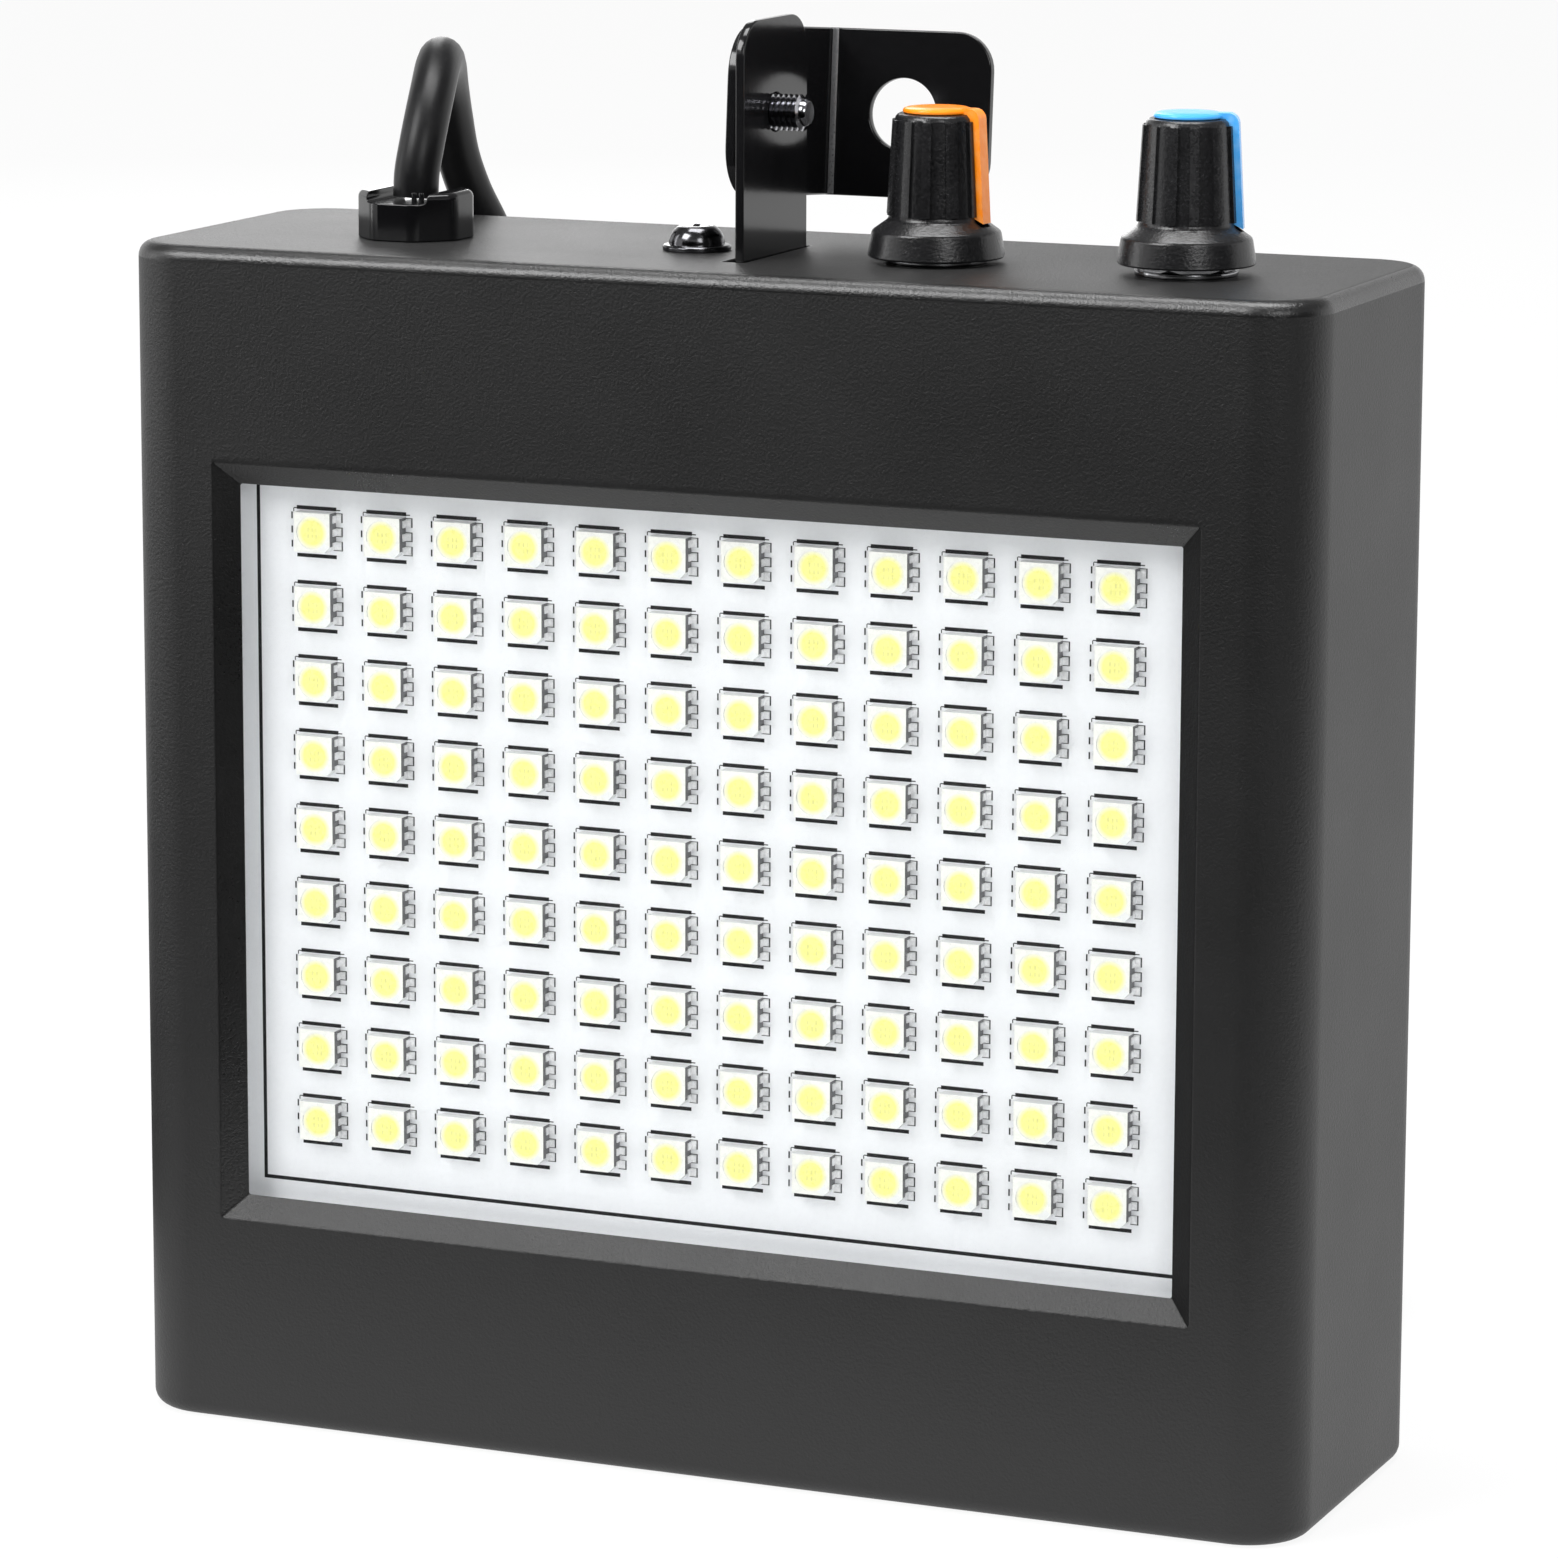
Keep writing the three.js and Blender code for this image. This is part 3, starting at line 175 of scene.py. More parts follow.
# %% [markdown]
# ## Floor, surroundings and lamps
#
# A product photograph like this one is taken on a white sweep under soft boxes. Black plastic shows
# little of its own colour: what is seen on it is mostly the white room, mirrored weakly on the front and
# strongly at a glancing angle on the top and the right side. So the room has to be there for reflections
# too. The floor keeps a part of its real shading, so that the shadow stays.

# %% Floor and surroundings
FLOOR_HALF = 6
FLOOR_WHITE = 0.86
FLOOR_SHOWN_SHARE = 0.9
ROOM_LEVEL = 0.6
WALLS_END, CEILING_STARTS = 0.28, 0.5
CEILING_LEVEL = 0.22


def ray_kinds(tree):
    """Two values, 1 or 0: one for camera rays, and one for glossy and transmission rays."""
    path = add_node(tree, "LightPath").outputs
    return path["Is Camera Ray"], largest(tree, path["Is Glossy Ray"], path["Is Transmission Ray"])


def floor_finish():
    material, tree = blank_material("floor_white")
    plain = add_node(tree, "BsdfDiffuse", Color=grey(FLOOR_WHITE))
    shown = add_node(tree, "Emission", Color=grey(1), Strength=1.0)
    share = times(tree, largest(tree, *ray_kinds(tree)), FLOOR_SHOWN_SHARE)
    mixed = add_node(tree, "MixShader", Fac=share)
    tree.links.new(plain.outputs[0], mixed.inputs[1])
    tree.links.new(shown.outputs[0], mixed.inputs[2])
    add_node(tree, "OutputMaterial", Surface=mixed.outputs[0])
    return material


bpy.ops.object.select_all(action="DESELECT")
bpy.ops.mesh.primitive_plane_add(size=2 * FLOOR_HALF, location=(0, 0, 0))
floor = bpy.context.active_object
floor.name = "floor"
floor.data.materials.append(floor_finish())

world = bpy.data.worlds.new("white_room")
world.use_nodes = True
bpy.context.scene.world = world
room = world.node_tree
room.nodes.clear()
way = add_node(room, "SeparateXYZ", Vector=add_node(room, "TexCoord").outputs["Generated"])
mirrored_room = ramp(room, way.outputs["Z"], WALLS_END, CEILING_STARTS, 1.0, CEILING_LEVEL)
camera_ray, mirrored_ray = ray_kinds(room)
lighting_room = ramp(room, mirrored_ray, 0, 1, ROOM_LEVEL, 0)
room_level = largest(room, lighting_room, times(room, mirrored_ray, mirrored_room), camera_ray)
room_light = add_node(room, "Background", Color=grey(1), Strength=room_level)
add_node(room, "OutputWorld", Surface=room_light.outputs[0])
print("room level", ROOM_LEVEL, "and floor", 2 * FLOOR_HALF, "m")

# %% [markdown]
# The side of the real studio where the photographer stands is dark, and that is why the front and the
# right of every glossy black piece look deep black. Dark cards stand there, and one lies at the left.
# Only mirrored rays see the cards, so they take no light from the object and throw no shadow.

# %% Dark cards, for reflections only
CARD_BLACK, card_tree = blank_material("card_black")
card_dark = add_node(card_tree, "Emission", Color=grey(0), Strength=1.0)
add_node(card_tree, "OutputMaterial", Surface=card_dark.outputs[0])


def dark_card(name, foot_left, foot_right, top_right, top_left):
    """A flat card between four corners: a plane whose corners are moved into place."""
    bpy.ops.object.select_all(action="DESELECT")
    bpy.ops.mesh.primitive_plane_add(size=1)
    card = bpy.context.active_object
    card.name = name
    for corner, place in zip((0, 1, 3, 2), (foot_left, foot_right, top_right, top_left)):
        card.data.vertices[corner].co = place
    card.data.materials.append(CARD_BLACK)
    card.visible_camera = card.visible_diffuse = card.visible_shadow = card.visible_transmission = False
    print(name, "stands", round(foot_left[1], 2), "to", round(top_left[1], 2), "m in y")


dark_card("front_card", (-0.095, -0.085, 0.004), (0.6, -0.085, 0.004), (0.6, -0.9, 0.46), (-0.75, -0.9, 0.46))
dark_card("right_card", (0.42, -0.6, 0.002), (0.5, 0.13, 0.002), (0.5, 0.13, 0.3), (0.42, -0.6, 0.3))
dark_card("left_card", (-0.12, -0.2, 0.003), (-0.12, 0.14, 0.003), (-0.62, 0.14, 0.003), (-0.62, -0.2, 0.003))

# %% Lamps
SUBJECT = Vector((0, 0, 0.07))


def add_soft_box(name, place, across, up, watts):
    """A rectangular area lamp that looks at the object."""
    bpy.ops.object.select_all(action="DESELECT")
    bpy.ops.object.light_add(type="AREA", location=place)
    lamp = bpy.context.active_object
    lamp.name = name
    lamp.data.name = name
    lamp.data.shape = "RECTANGLE"
    lamp.data.size = across
    lamp.data.size_y = up
    lamp.data.energy = watts
    lamp.rotation_euler = (SUBJECT - Vector(place)).to_track_quat("-Z", "Y").to_euler()
    return lamp


add_soft_box("key_box", (-0.6, -0.85, 1.0), 0.6, 0.6, 12.9)
add_soft_box("fill_box", (0.9, -1.05, 0.75), 0.6, 0.6, 5)
add_soft_box("top_box", (0.0, 0.0, 1.15), 0.8, 0.5, 11.6)
add_soft_box("back_box", (-0.6, 1.1, 0.6), 0.25, 0.9, 1.8)
add_soft_box("left_strip", (-1.1, -0.25, 0.35), 0.12, 0.9, 1.5)

# %% [markdown]
# ## Effects that several finishes share
#
# Moulded grain, rubbed edges and settled dust occur on many pieces. Each is a shader group, built once
# and placed in each material with its own values. Grain is fine noise. A rubbed edge is found by how
# pointed the surface is: every edge of a finished piece is rounded with a few faces, and these stand out
# as convex. Dust settles where a surface looks up.

# %% Shared shader groups
MID_NOISE = (0.35, 0.65)
WIDE_NOISE = (0.3, 0.7)
SHARP_POINTINESS = (0.52, 0.6)
LEVEL_ENOUGH = (0.5, 1.0)
SPECK_NOISE = (0.5, 0.8)


def new_group(name, inputs, outputs):
    """An empty shader group, with its input and output nodes. An input without a value is a place."""
    tree = bpy.data.node_groups.new(name, "ShaderNodeTree")
    for label, value in inputs.items():
        kind = "NodeSocketVector" if value is None else "NodeSocketFloat"
        socket = tree.interface.new_socket(label, in_out="INPUT", socket_type=kind)
        if value is not None:
            socket.default_value = value
    for label in outputs:
        tree.interface.new_socket(label, in_out="OUTPUT", socket_type="NodeSocketFloat")
    return tree, tree.nodes.new("NodeGroupInput").outputs, tree.nodes.new("NodeGroupOutput").inputs


def place_group(tree, group, **inputs):
    made = tree.nodes.new("ShaderNodeGroup")
    made.node_tree = group
    return feed_all(tree, made, **inputs).outputs


def noise(tree, place, scale, detail=2.0, roughness=0.5):
    """Noise from 0 to 1. Its scale is one over the size of its features, in metres."""
    made = add_node(tree, "TexNoise", Vector=place, Scale=scale, Detail=detail, Roughness=roughness)
    return made.outputs[0]


def grain_group():
    inputs = {"Place": None, "Cells": 4000.0, "Blotches": 60.0}
    tree, given, result = new_group("moulded_grain", inputs, ["Height", "Tone"])
    fine = noise(tree, given["Place"], given["Cells"], 3.0, 0.6)
    broad = noise(tree, given["Place"], given["Blotches"])
    tone = maths(tree, "ADD", times(tree, fine, 0.5), times(tree, broad, 0.5))
    feed(tree, result["Height"], fine)
    feed(tree, result["Tone"], tone)
    return tree


def edge_group():
    tree, given, result = new_group("rubbed_edge", {"Place": None, "Broken": 900.0}, ["Edge"])
    near = ramp(tree, add_node(tree, "NewGeometry").outputs["Pointiness"], *SHARP_POINTINESS)
    kept = ramp(tree, noise(tree, given["Place"], given["Broken"]), *MID_NOISE)
    feed(tree, result["Edge"], times(tree, near, kept))
    return tree


def dust_group():
    tree, given, result = new_group("settled_dust", {"Place": None, "Specks": 1500.0}, ["Dust"])
    parts = add_node(tree, "SeparateXYZ", Vector=add_node(tree, "NewGeometry").outputs["Normal"])
    level = ramp(tree, parts.outputs["Z"], *LEVEL_ENOUGH)
    specks = ramp(tree, noise(tree, given["Place"], given["Specks"], 4.0, 0.7), *SPECK_NOISE)
    feed(tree, result["Dust"], times(tree, level, specks))
    return tree


GRAIN, EDGE, DUST = grain_group(), edge_group(), dust_group()
print("groups:", [group.name for group in (GRAIN, EDGE, DUST)])

# %% [markdown]
# ## Finishes
#
# Most pieces are a plastic, a paint or a plated metal, so one recipe makes them with different values:
# colour, roughness, grain and its depth, how much the tone wanders, and how much the edges are rubbed.
# The patterns follow Object coordinates, so they stay put when a piece turns on its joint.

# %% The common recipe for a finish
DUST_GREY = (0.42, 0.41, 0.39, 1)
FINISHES = {}


def new_material(name):
    material, tree = blank_material(name)
    shader = add_node(tree, "BsdfPrincipled")
    add_node(tree, "OutputMaterial", Surface=shader.outputs[0])
    return material, tree, shader


def object_place(tree):
    return add_node(tree, "TexCoord").outputs["Object"]


def bump(tree, height, depth):
    return add_node(tree, "Bump", Height=height, Distance=depth, Strength=1.0).outputs[0]


def surface(name, colour, roughness, metallic=0.0, specular=0.5, grain=0.25, depth=0.004, wander=0.15,
            rub=0.25, rub_colour=None, dust=0.04):
    """A plastic, paint or plated metal with grain, wandering tone, rubbed edges and a trace of dust.

    The size and the depth of the grain are in millimetres.
    """
    material, tree, shader = new_material(name)
    place = object_place(tree)
    tone = place_group(tree, GRAIN, Place=place, Cells=1 / (grain * MM))
    darker, lighter = ((*(channel * share for channel in colour), 1) for share in (1 - wander, 1 + wander))
    base = mix_colour(tree, ramp(tree, tone["Tone"], *MID_NOISE), darker, lighter)
    if rub:
        worn = (*(rub_colour or (min(1, channel * 2.5 + 0.02) for channel in colour)), 1)
        edge = place_group(tree, EDGE, Place=place)["Edge"]
        base = mix_colour(tree, times(tree, edge, rub), base, worn)
    if dust:
        film = place_group(tree, DUST, Place=place)["Dust"]
        base = mix_colour(tree, times(tree, film, dust), base, DUST_GREY)
    smoothest, roughest = roughness * (1 - wander / 2), min(1, roughness * (1 + wander / 2))
    feed_all(
        tree, shader, Base_Color=base, Metallic=metallic, Specular_IOR_Level=specular,
        Roughness=ramp(tree, tone["Tone"], *WIDE_NOISE, smoothest, roughest),
        Normal=bump(tree, tone["Height"], depth * MM),
    )
    FINISHES[name] = material
    return material


print("recipe: surface, with grain, tone, rubbed edges and dust")

# %% The finishes
HOUSING_BLACK = (0.005, 0.005, 0.0051)

surface("housing_plastic", HOUSING_BLACK, 0.48, specular=0.62, grain=0.34, depth=0.075, wander=0.14)
surface("housing_polish", HOUSING_BLACK, 0.3, specular=0.66, grain=0.3, depth=0.05, wander=0.3, rub=0.4)
# A darker copy of the housing plastic with little specular, for the window's right slope: painted shade.
surface("housing_matt", (0.004, 0.004, 0.0041), 0.6, specular=0.15, grain=0.34, depth=0.05)
surface("foam", (0.9, 0.9, 0.9), 0.9, grain=0.4, depth=0.06, rub=0)
surface("green_board", (0.03, 0.16, 0.06), 0.4, grain=1.2, wander=0.3)
surface("black_paint", (0.006, 0.006, 0.0065), 0.13, specular=0.42, grain=1.1, rub=0.1, dust=0.02)
# The hollow of the bracket's bend gets this lighter, half-metallic grey: a painted highlight.
surface("bend_painted_highlight", (0.2, 0.2, 0.205), 0.3, metallic=0.5, depth=0.02, wander=0.3)
surface("black_screw", (0.09, 0.09, 0.095), 0.16, metallic=1.0, grain=0.5, wander=0.3,
        rub_colour=(0.35, 0.35, 0.37))
surface("bright_thread", (0.36, 0.36, 0.38), 0.14, metallic=1.0, grain=0.8, depth=0.002, wander=0.1)
# A darker copy of the zinc for the washers and nuts under the knobs: painted shade.
surface("zinc_painted_shade", (0.3, 0.3, 0.31), 0.2, metallic=1.0, grain=0.5, wander=0.2)
surface("zinc_steel", (0.62, 0.63, 0.66), 0.28, metallic=1.0, grain=0.6, wander=0.12)
surface("bare_aluminium", (0.66, 0.67, 0.69), 0.34, metallic=1.0, grain=0.3)
surface("chip_plastic", (0.018, 0.018, 0.02), 0.5, grain=0.15)
surface("sleeve", (0.02, 0.035, 0.16), 0.25, grain=1.5, rub=0.1)
surface("terminal_plastic", (0.05, 0.32, 0.13), 0.45)
surface("ribbon", (0.36, 0.37, 0.39), 0.5)
surface("knob_plastic", (0.011, 0.011, 0.0118), 0.24, grain=0.3, depth=0.04, wander=0.6)
surface("orange_cap", (1.0, 0.26, 0.003), 0.25, grain=0.8, wander=0.03, rub=0.2, rub_colour=(1.0, 0.6, 0.25))
surface("blue_cap", (0.06, 0.38, 0.86), 0.25, grain=0.8, wander=0.03, rub=0.2, rub_colour=(0.45, 0.72, 1.0))
surface("gland_plastic", (0.004, 0.004, 0.0045), 0.15, grain=0.9)
surface("cord_jacket", (0.005, 0.005, 0.0055), 0.36, specular=0.25, grain=0.5, wander=0.3, rub=0)
surface("plug_plastic", (0.014, 0.014, 0.015), 0.42)
surface("blade_brass", (0.8, 0.58, 0.26), 0.25, metallic=1.0, grain=0.4)
print("finishes:", len(FINISHES))

# %% [markdown]
# ## The clear window
#
# The window is a thin clear sheet. What matters on it is that it lets the diodes through and mirrors the
# room faintly, more at a glancing angle. A thin sheet needs no refraction: it is made a clear coverage
# that grows with the Fresnel value, so that lamps light the board behind it. Only its outer side counts,
# because the inner side would mirror everything at a slant. The inner side keeps back a part of the light
# that comes and goes, but nothing of what the camera sees.

# %% The clear sheet
LEAST_COVER, MOST_COVER = 0.004, 0.75
LIGHT_KEPT_BACK = 0.5


def clear_sheet():
    material, tree, shader = new_material("clear_sheet")
    smudge = ramp(tree, noise(tree, object_place(tree), 1 / (14 * MM), 3.0), 0.45, 0.8, 0.02, 0.07)
    glance = add_node(tree, "Fresnel", IOR=1.49).outputs[0]
    cover = ramp(tree, glance, 0.045, 1.0, LEAST_COVER, MOST_COVER)
    inner_side = add_node(tree, "NewGeometry").outputs["Backfacing"]
    outer_part = times(tree, cover, maths(tree, "SUBTRACT", 1.0, inner_side))
    dimmed = ramp(tree, add_node(tree, "LightPath").outputs["Is Camera Ray"], 0, 1, LIGHT_KEPT_BACK, 0)
    alpha = maths(tree, "ADD", outer_part, times(tree, inner_side, dimmed))
    feed_all(tree, shader, Base_Color=(0.93, 0.96, 0.97, 1), Roughness=smudge, Alpha=alpha)
    return material


FINISHES["clear_sheet"] = clear_sheet()
print("clear sheet: coverage from", LEAST_COVER, "to", MOST_COVER)

# %% [markdown]
# ## The printed diode board
#
# The board carries black print round every diode: a bar above and below, fine outlines round the pads,
# and a thin line round the whole field. Print has no height worth modelling, so it is a pattern in the
# material. The pattern repeats with the pitch of the diodes, so the place is first wrapped into one cell.

# %% Measure the diode field from the frame
COLUMNS = 12
ROWS = 9
SHELL_LOW, SHELL_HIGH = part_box("front_shell")
BOARD_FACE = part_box("led_board")[0].y
first_low, first_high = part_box("led_column_01")
last_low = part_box("led_column_12")[0]
DIODE_SPACE = first_high.x - first_low.x
PITCH_X = (last_low.x - first_low.x) / (COLUMNS - 1)
PITCH_Z = (first_high.z - first_low.z - DIODE_SPACE) / (ROWS - 1)
FIRST_X = (first_low.x + first_high.x) / 2
FIRST_Z = first_low.z + DIODE_SPACE / 2
pitches = [round(pitch / MM, 2) for pitch in (PITCH_X, PITCH_Z)]
print("diode pitches", pitches, "mm, lowest at", round(FIRST_Z / MM, 2), "mm")

# %% The print on the board
PRINT_SHIFT = (-0.2 * MM, -0.15 * MM)
BAR_HALF, BAR_RISE, BAR_THICK = 2.48 * MM, 2.69 * MM, 0.46 * MM
LINE = 0.15 * MM
LEFT_PAD, LEFT_HALF = -2.72 * MM, 0.4 * MM
RIGHT_PAD, RIGHT_HALF = 2.45 * MM, 0.45 * MM
PAD_PITCH, PAD_HALF = 1.6 * MM, 0.46 * MM
DASH = (-3.27 * MM, 0.11 * MM, 0.4 * MM)
CORNER_MARKS = (
    (-2.45 * MM, 2.45 * MM, 0.6 * MM, LINE / 2),
    (2.35 * MM, 2.45 * MM, 0.4 * MM, LINE / 2),
    (-3.05 * MM, 2.1 * MM, LINE / 2, 0.35 * MM),
)
BORDER_HALF, BORDER_BOTTOM, BORDER_THICK = 55 * MM, 27.93 * MM, 0.43 * MM
BORDER_LIFT = 1.2 * MM
PRINT_SOFT = 0.03 * MM
PRINT_BLACK = (0.003, 0.003, 0.003, 1)
MASK_WHITE = (0.9, 0.91, 0.93, 1)


def box_mask_group():
    labels = ("Across", "Up", "Middle across", "Middle up", "Half across", "Half up")
    tree, given, result = new_group("print_box", dict.fromkeys(labels, 0.0), ["Mask"])
    shares = []
    for way in ("across", "up"):
        apart = maths(tree, "ABSOLUTE", maths(tree, "SUBTRACT", given[way.title()], given["Middle " + way]))
        spare = maths(tree, "SUBTRACT", given["Half " + way], apart)
        shares.append(maths(tree, "DIVIDE", spare, PRINT_SOFT, clamp=True))
    feed(tree, result["Mask"], times(tree, *shares))
    return tree


PRINT_BOX = box_mask_group()


def diode_cells(tree):
    """The place, its three coordinates, and how far across and up it is from the nearest diode's middle."""
    place = object_place(tree)
    x, y, z = add_node(tree, "SeparateXYZ", Vector=place).outputs
    across = maths(tree, "WRAP", maths(tree, "SUBTRACT", x, FIRST_X), PITCH_X / 2, -PITCH_X / 2)
    up = maths(tree, "WRAP", maths(tree, "SUBTRACT", z, FIRST_Z), PITCH_Z / 2, -PITCH_Z / 2)
    return place, (x, y, z), (across, up)


def in_box(tree, ways, middle_x, middle_z, half_x, half_z):
    """1 inside a box that is given by its middle and its half sides, and 0 outside."""
    made = place_group(
        tree, PRINT_BOX, Across=ways[0], Up=ways[1],
        Middle_across=middle_x, Middle_up=middle_z, Half_across=half_x, Half_up=half_z,
    )
    return made["Mask"]


print("print: bars", round(2 * BAR_HALF / MM, 2), "mm long, border", round(2 * BORDER_HALF / MM), "mm wide")

# %% The finish of the board


def print_masks(tree, x, z, cell):
    """Where the ink and where the tin lies, on all of the board."""
    shift_x, shift_z = PRINT_SHIFT
    bars = [(shift_x, shift_z + side * BAR_RISE, BAR_HALF, BAR_THICK / 2) for side in (-1, 1)]
    ink = [in_box(tree, cell, *mark) for mark in (*bars, *CORNER_MARKS)]
    tin = []
    dash_x, dash_half, dash_reach = DASH
    for step in (-1, 0, 1):
        rise = step * PAD_PITCH
        ink.append(in_box(tree, cell, dash_x, rise, dash_half, dash_reach))
        ink.append(in_box(tree, cell, RIGHT_PAD, rise, RIGHT_HALF + LINE, PAD_HALF + LINE * 0.6))
        tin.append(in_box(tree, cell, LEFT_PAD, rise, LEFT_HALF, PAD_HALF))
        tin.append(in_box(tree, cell, RIGHT_PAD, rise, RIGHT_HALF, PAD_HALF))
    middle_x = FIRST_X + PITCH_X * (COLUMNS - 1) / 2
    middle_z = FIRST_Z + PITCH_Z * (ROWS - 1) / 2
    field = in_box(tree, (x, z), middle_x, middle_z, PITCH_X * COLUMNS / 2, PITCH_Z * ROWS / 2)
    border_top = SHELL_HIGH.z - BORDER_BOTTOM + BORDER_LIFT
    border_middle, border_half = (BORDER_BOTTOM + border_top) / 2, (border_top - BORDER_BOTTOM) / 2
    outer, inner = (
        in_box(tree, (x, z), 0.0, border_middle, BORDER_HALF + edge, border_half + edge)
        for edge in (BORDER_THICK / 2, -BORDER_THICK / 2)
    )
    ink = times(tree, largest(tree, *ink), field)
    border = maths(tree, "SUBTRACT", outer, inner)
    return largest(tree, ink, border), times(tree, largest(tree, *tin), field)


def board_finish():
    material, tree, shader = new_material("diode_board")
    place, (x, y, z), cell = diode_cells(tree)
    front = ramp(tree, y, BOARD_FACE + 0.5 * MM, BOARD_FACE + 0.4 * MM)
    ink, tin = (times(tree, mask, front) for mask in print_masks(tree, x, z, cell))
    tone = place_group(tree, GRAIN, Place=place, Cells=1 / (0.5 * MM))
    shade = ramp(tree, tone["Tone"], *WIDE_NOISE, 0.97, 1.03)
    white = mix_colour(tree, 1.0, MASK_WHITE, shade, "MULTIPLY")
    inked = mix_colour(tree, ink, white, PRINT_BLACK)
    feed_all(
        tree, shader, Base_Color=mix_colour(tree, tin, inked, grey(0.86)), Metallic=times(tree, tin, 0.3),
        Roughness=ramp(tree, maths(tree, "ADD", ink, tone["Tone"]), 0.3, 1.3, 0.38, 0.6),
        Normal=bump(tree, tone["Height"], 0.004 * MM),
    )
    return material


FINISHES["diode_board"] = board_finish()
print("board finish:", FINISHES["diode_board"].name)

# %% [markdown]
# ## The diode's own finishes
#
# A diode package is a white plastic tub with a yellow phosphor fill. The fill fades to white at its rim,
# because it is thin there, and the dies under it show as faint darker bars. The legs are tinned. The
# package's left and right sides get a dark grey, which is painted shade between the legs.

# %% Package, phosphor and legs
THIN_FROM, THIN_TO = 1.3 * MM, 1.9 * MM
DIES = [(x * MM, z * MM) for x in (-0.48, 0.06, 0.52) for z in (-0.42, 0.3)]
DIE_HALF_X, DIE_HALF_Z = 0.1 * MM, 0.24 * MM
YELLOWS = (0.93, 0.9, 0.27, 1), (0.95, 0.93, 0.36, 1)
DIE_YELLOW = (0.62, 0.6, 0.25, 1)
RIM_WHITE = (0.9, 0.9, 0.86, 1)


def phosphor_finish():
    material, tree, shader = new_material("phosphor")
    place, _, cell = diode_cells(tree)
    across, up = cell

    def cloud(size):
        return noise(tree, place, 1 / (size * MM))

    out = maths(tree, "SQRT", maths(tree, "ADD", times(tree, across, across), times(tree, up, up)))
    thin = ramp(tree, out, THIN_FROM, THIN_TO)
    yellow = mix_colour(tree, cloud(0.5), *YELLOWS)
    dies = largest(tree, *(in_box(tree, cell, *middle, DIE_HALF_X, DIE_HALF_Z) for middle in DIES))
    dies = times(tree, dies, ramp(tree, cloud(0.7), *MID_NOISE, 0.1, 0.5))
    shaded = mix_colour(tree, dies, yellow, DIE_YELLOW)
    feed_all(
        tree, shader, Base_Color=mix_colour(tree, thin, shaded, RIM_WHITE),
        Roughness=ramp(tree, cloud(0.6), *WIDE_NOISE, 0.22, 0.36), Normal=bump(tree, cloud(0.9), 0.02 * MM),
    )
    return material


PACKAGE_WHITE = surface("package_white", (0.86, 0.87, 0.87), 0.35, grain=0.3, wander=0.03, rub=0, dust=0)
PHOSPHOR = phosphor_finish()
# The package's left and right sides are dark grey: painted shade between the legs.
PACKAGE_PAINTED_SHADE = surface("package_painted_shade", (0.16, 0.16, 0.165), 0.5, grain=0.3, rub=0, dust=0)
TINNED = surface("tinned_leg", (0.88, 0.88, 0.89), 0.4, metallic=0.1, grain=0.3, wander=0.2, rub=0, dust=0)
DIODE_FINISHES = (PACKAGE_WHITE, PHOSPHOR, TINNED, PACKAGE_PAINTED_SHADE)
PHOSPHOR_FACE, TINNED_FACE, SHADED_SIDE_FACE = 1, 2, 3
print("diode finishes:", [finish.name for finish in DIODE_FINISHES])

# %% [markdown]
# ## Modelling by hand, in code
#
# Each piece starts as a primitive at its real size and place. Then faces or edges are chosen by where
# they are or where they look, and an edit-mode operator shapes them. Holes are cut with a boolean
# modifier, edges are softened with a bevel modifier, and both are applied. These helpers do the choosing
# and the applying.

# %% Helpers that make primitives
HAIR = 1e-6


def deselect_everything():
    """Leaves edit mode, and lets go of every object."""
    if bpy.context.mode != "OBJECT":
        bpy.ops.object.mode_set(mode="OBJECT")
    bpy.ops.object.select_all(action="DESELECT")


def only(piece):
    """Leaves edit mode, and selects this piece alone."""
    deselect_everything()
    piece.select_set(True)
    bpy.context.view_layer.objects.active = piece


def placed(name):
    """Names the primitive that was just added, and puts its size and place in its mesh."""
    piece = bpy.context.active_object
    piece.name = name
    piece.data.name = name
    only(piece)
    bpy.ops.object.transform_apply(location=True, rotation=True, scale=True)
    return piece


def at(x, y, z):
    """A point given in millimetres."""
    return Vector((x, y, z)) * MM


def block(name, low, high):
    deselect_everything()
    low, high = Vector(low), Vector(high)
    bpy.ops.mesh.primitive_cube_add(size=1, location=(low + high) / 2, scale=high - low)
    return placed(name)


def rod(name, radius, start, end, sides=32, turn=0.0):
    """A cylinder between two points, in millimetres."""
    deselect_everything()
    start, end = at(*start), at(*end)
    way = end - start
    facing = way.to_track_quat("Z", "Y") @ Matrix.Rotation(turn, 3, "Z").to_quaternion()
    bpy.ops.mesh.primitive_cylinder_add(
        vertices=sides, radius=radius * MM, depth=way.length, location=(start + end) / 2,
        rotation=facing.to_euler(),
    )
    return placed(name)


print("primitives: block and rod")

# %% Helpers that choose faces and edges, and shape them


def anything(item):
    return True


def choose(piece, kind="FACE", test=anything):
    """Opens a piece in edit mode and selects the faces, edges or vertices that pass a test."""
    only(piece)
    bpy.ops.object.mode_set(mode="EDIT")
    bpy.ops.mesh.select_mode(type=kind)
    bpy.ops.mesh.select_all(action="DESELECT")
    mesh = bmesh.from_edit_mesh(piece.data)
    for item in {"FACE": mesh.faces, "EDGE": mesh.edges, "VERT": mesh.verts}[kind]:
        item.select = bool(test(item))
    mesh.select_flush_mode()
    bmesh.update_edit_mesh(piece.data)


def faces_towards(piece, way, where=anything):
    """Selects the flat faces that look one way."""
    way = Vector(way)
    choose(piece, "FACE", lambda face: face.normal.dot(way) > 0.99 and where(face.calc_center_median()))


def round_edges(width, segments):
    """Rounds the chosen edges. The width is in millimetres."""
    bpy.ops.mesh.bevel(offset=width * MM, segments=segments, affect="EDGES", clamp_overlap=True)


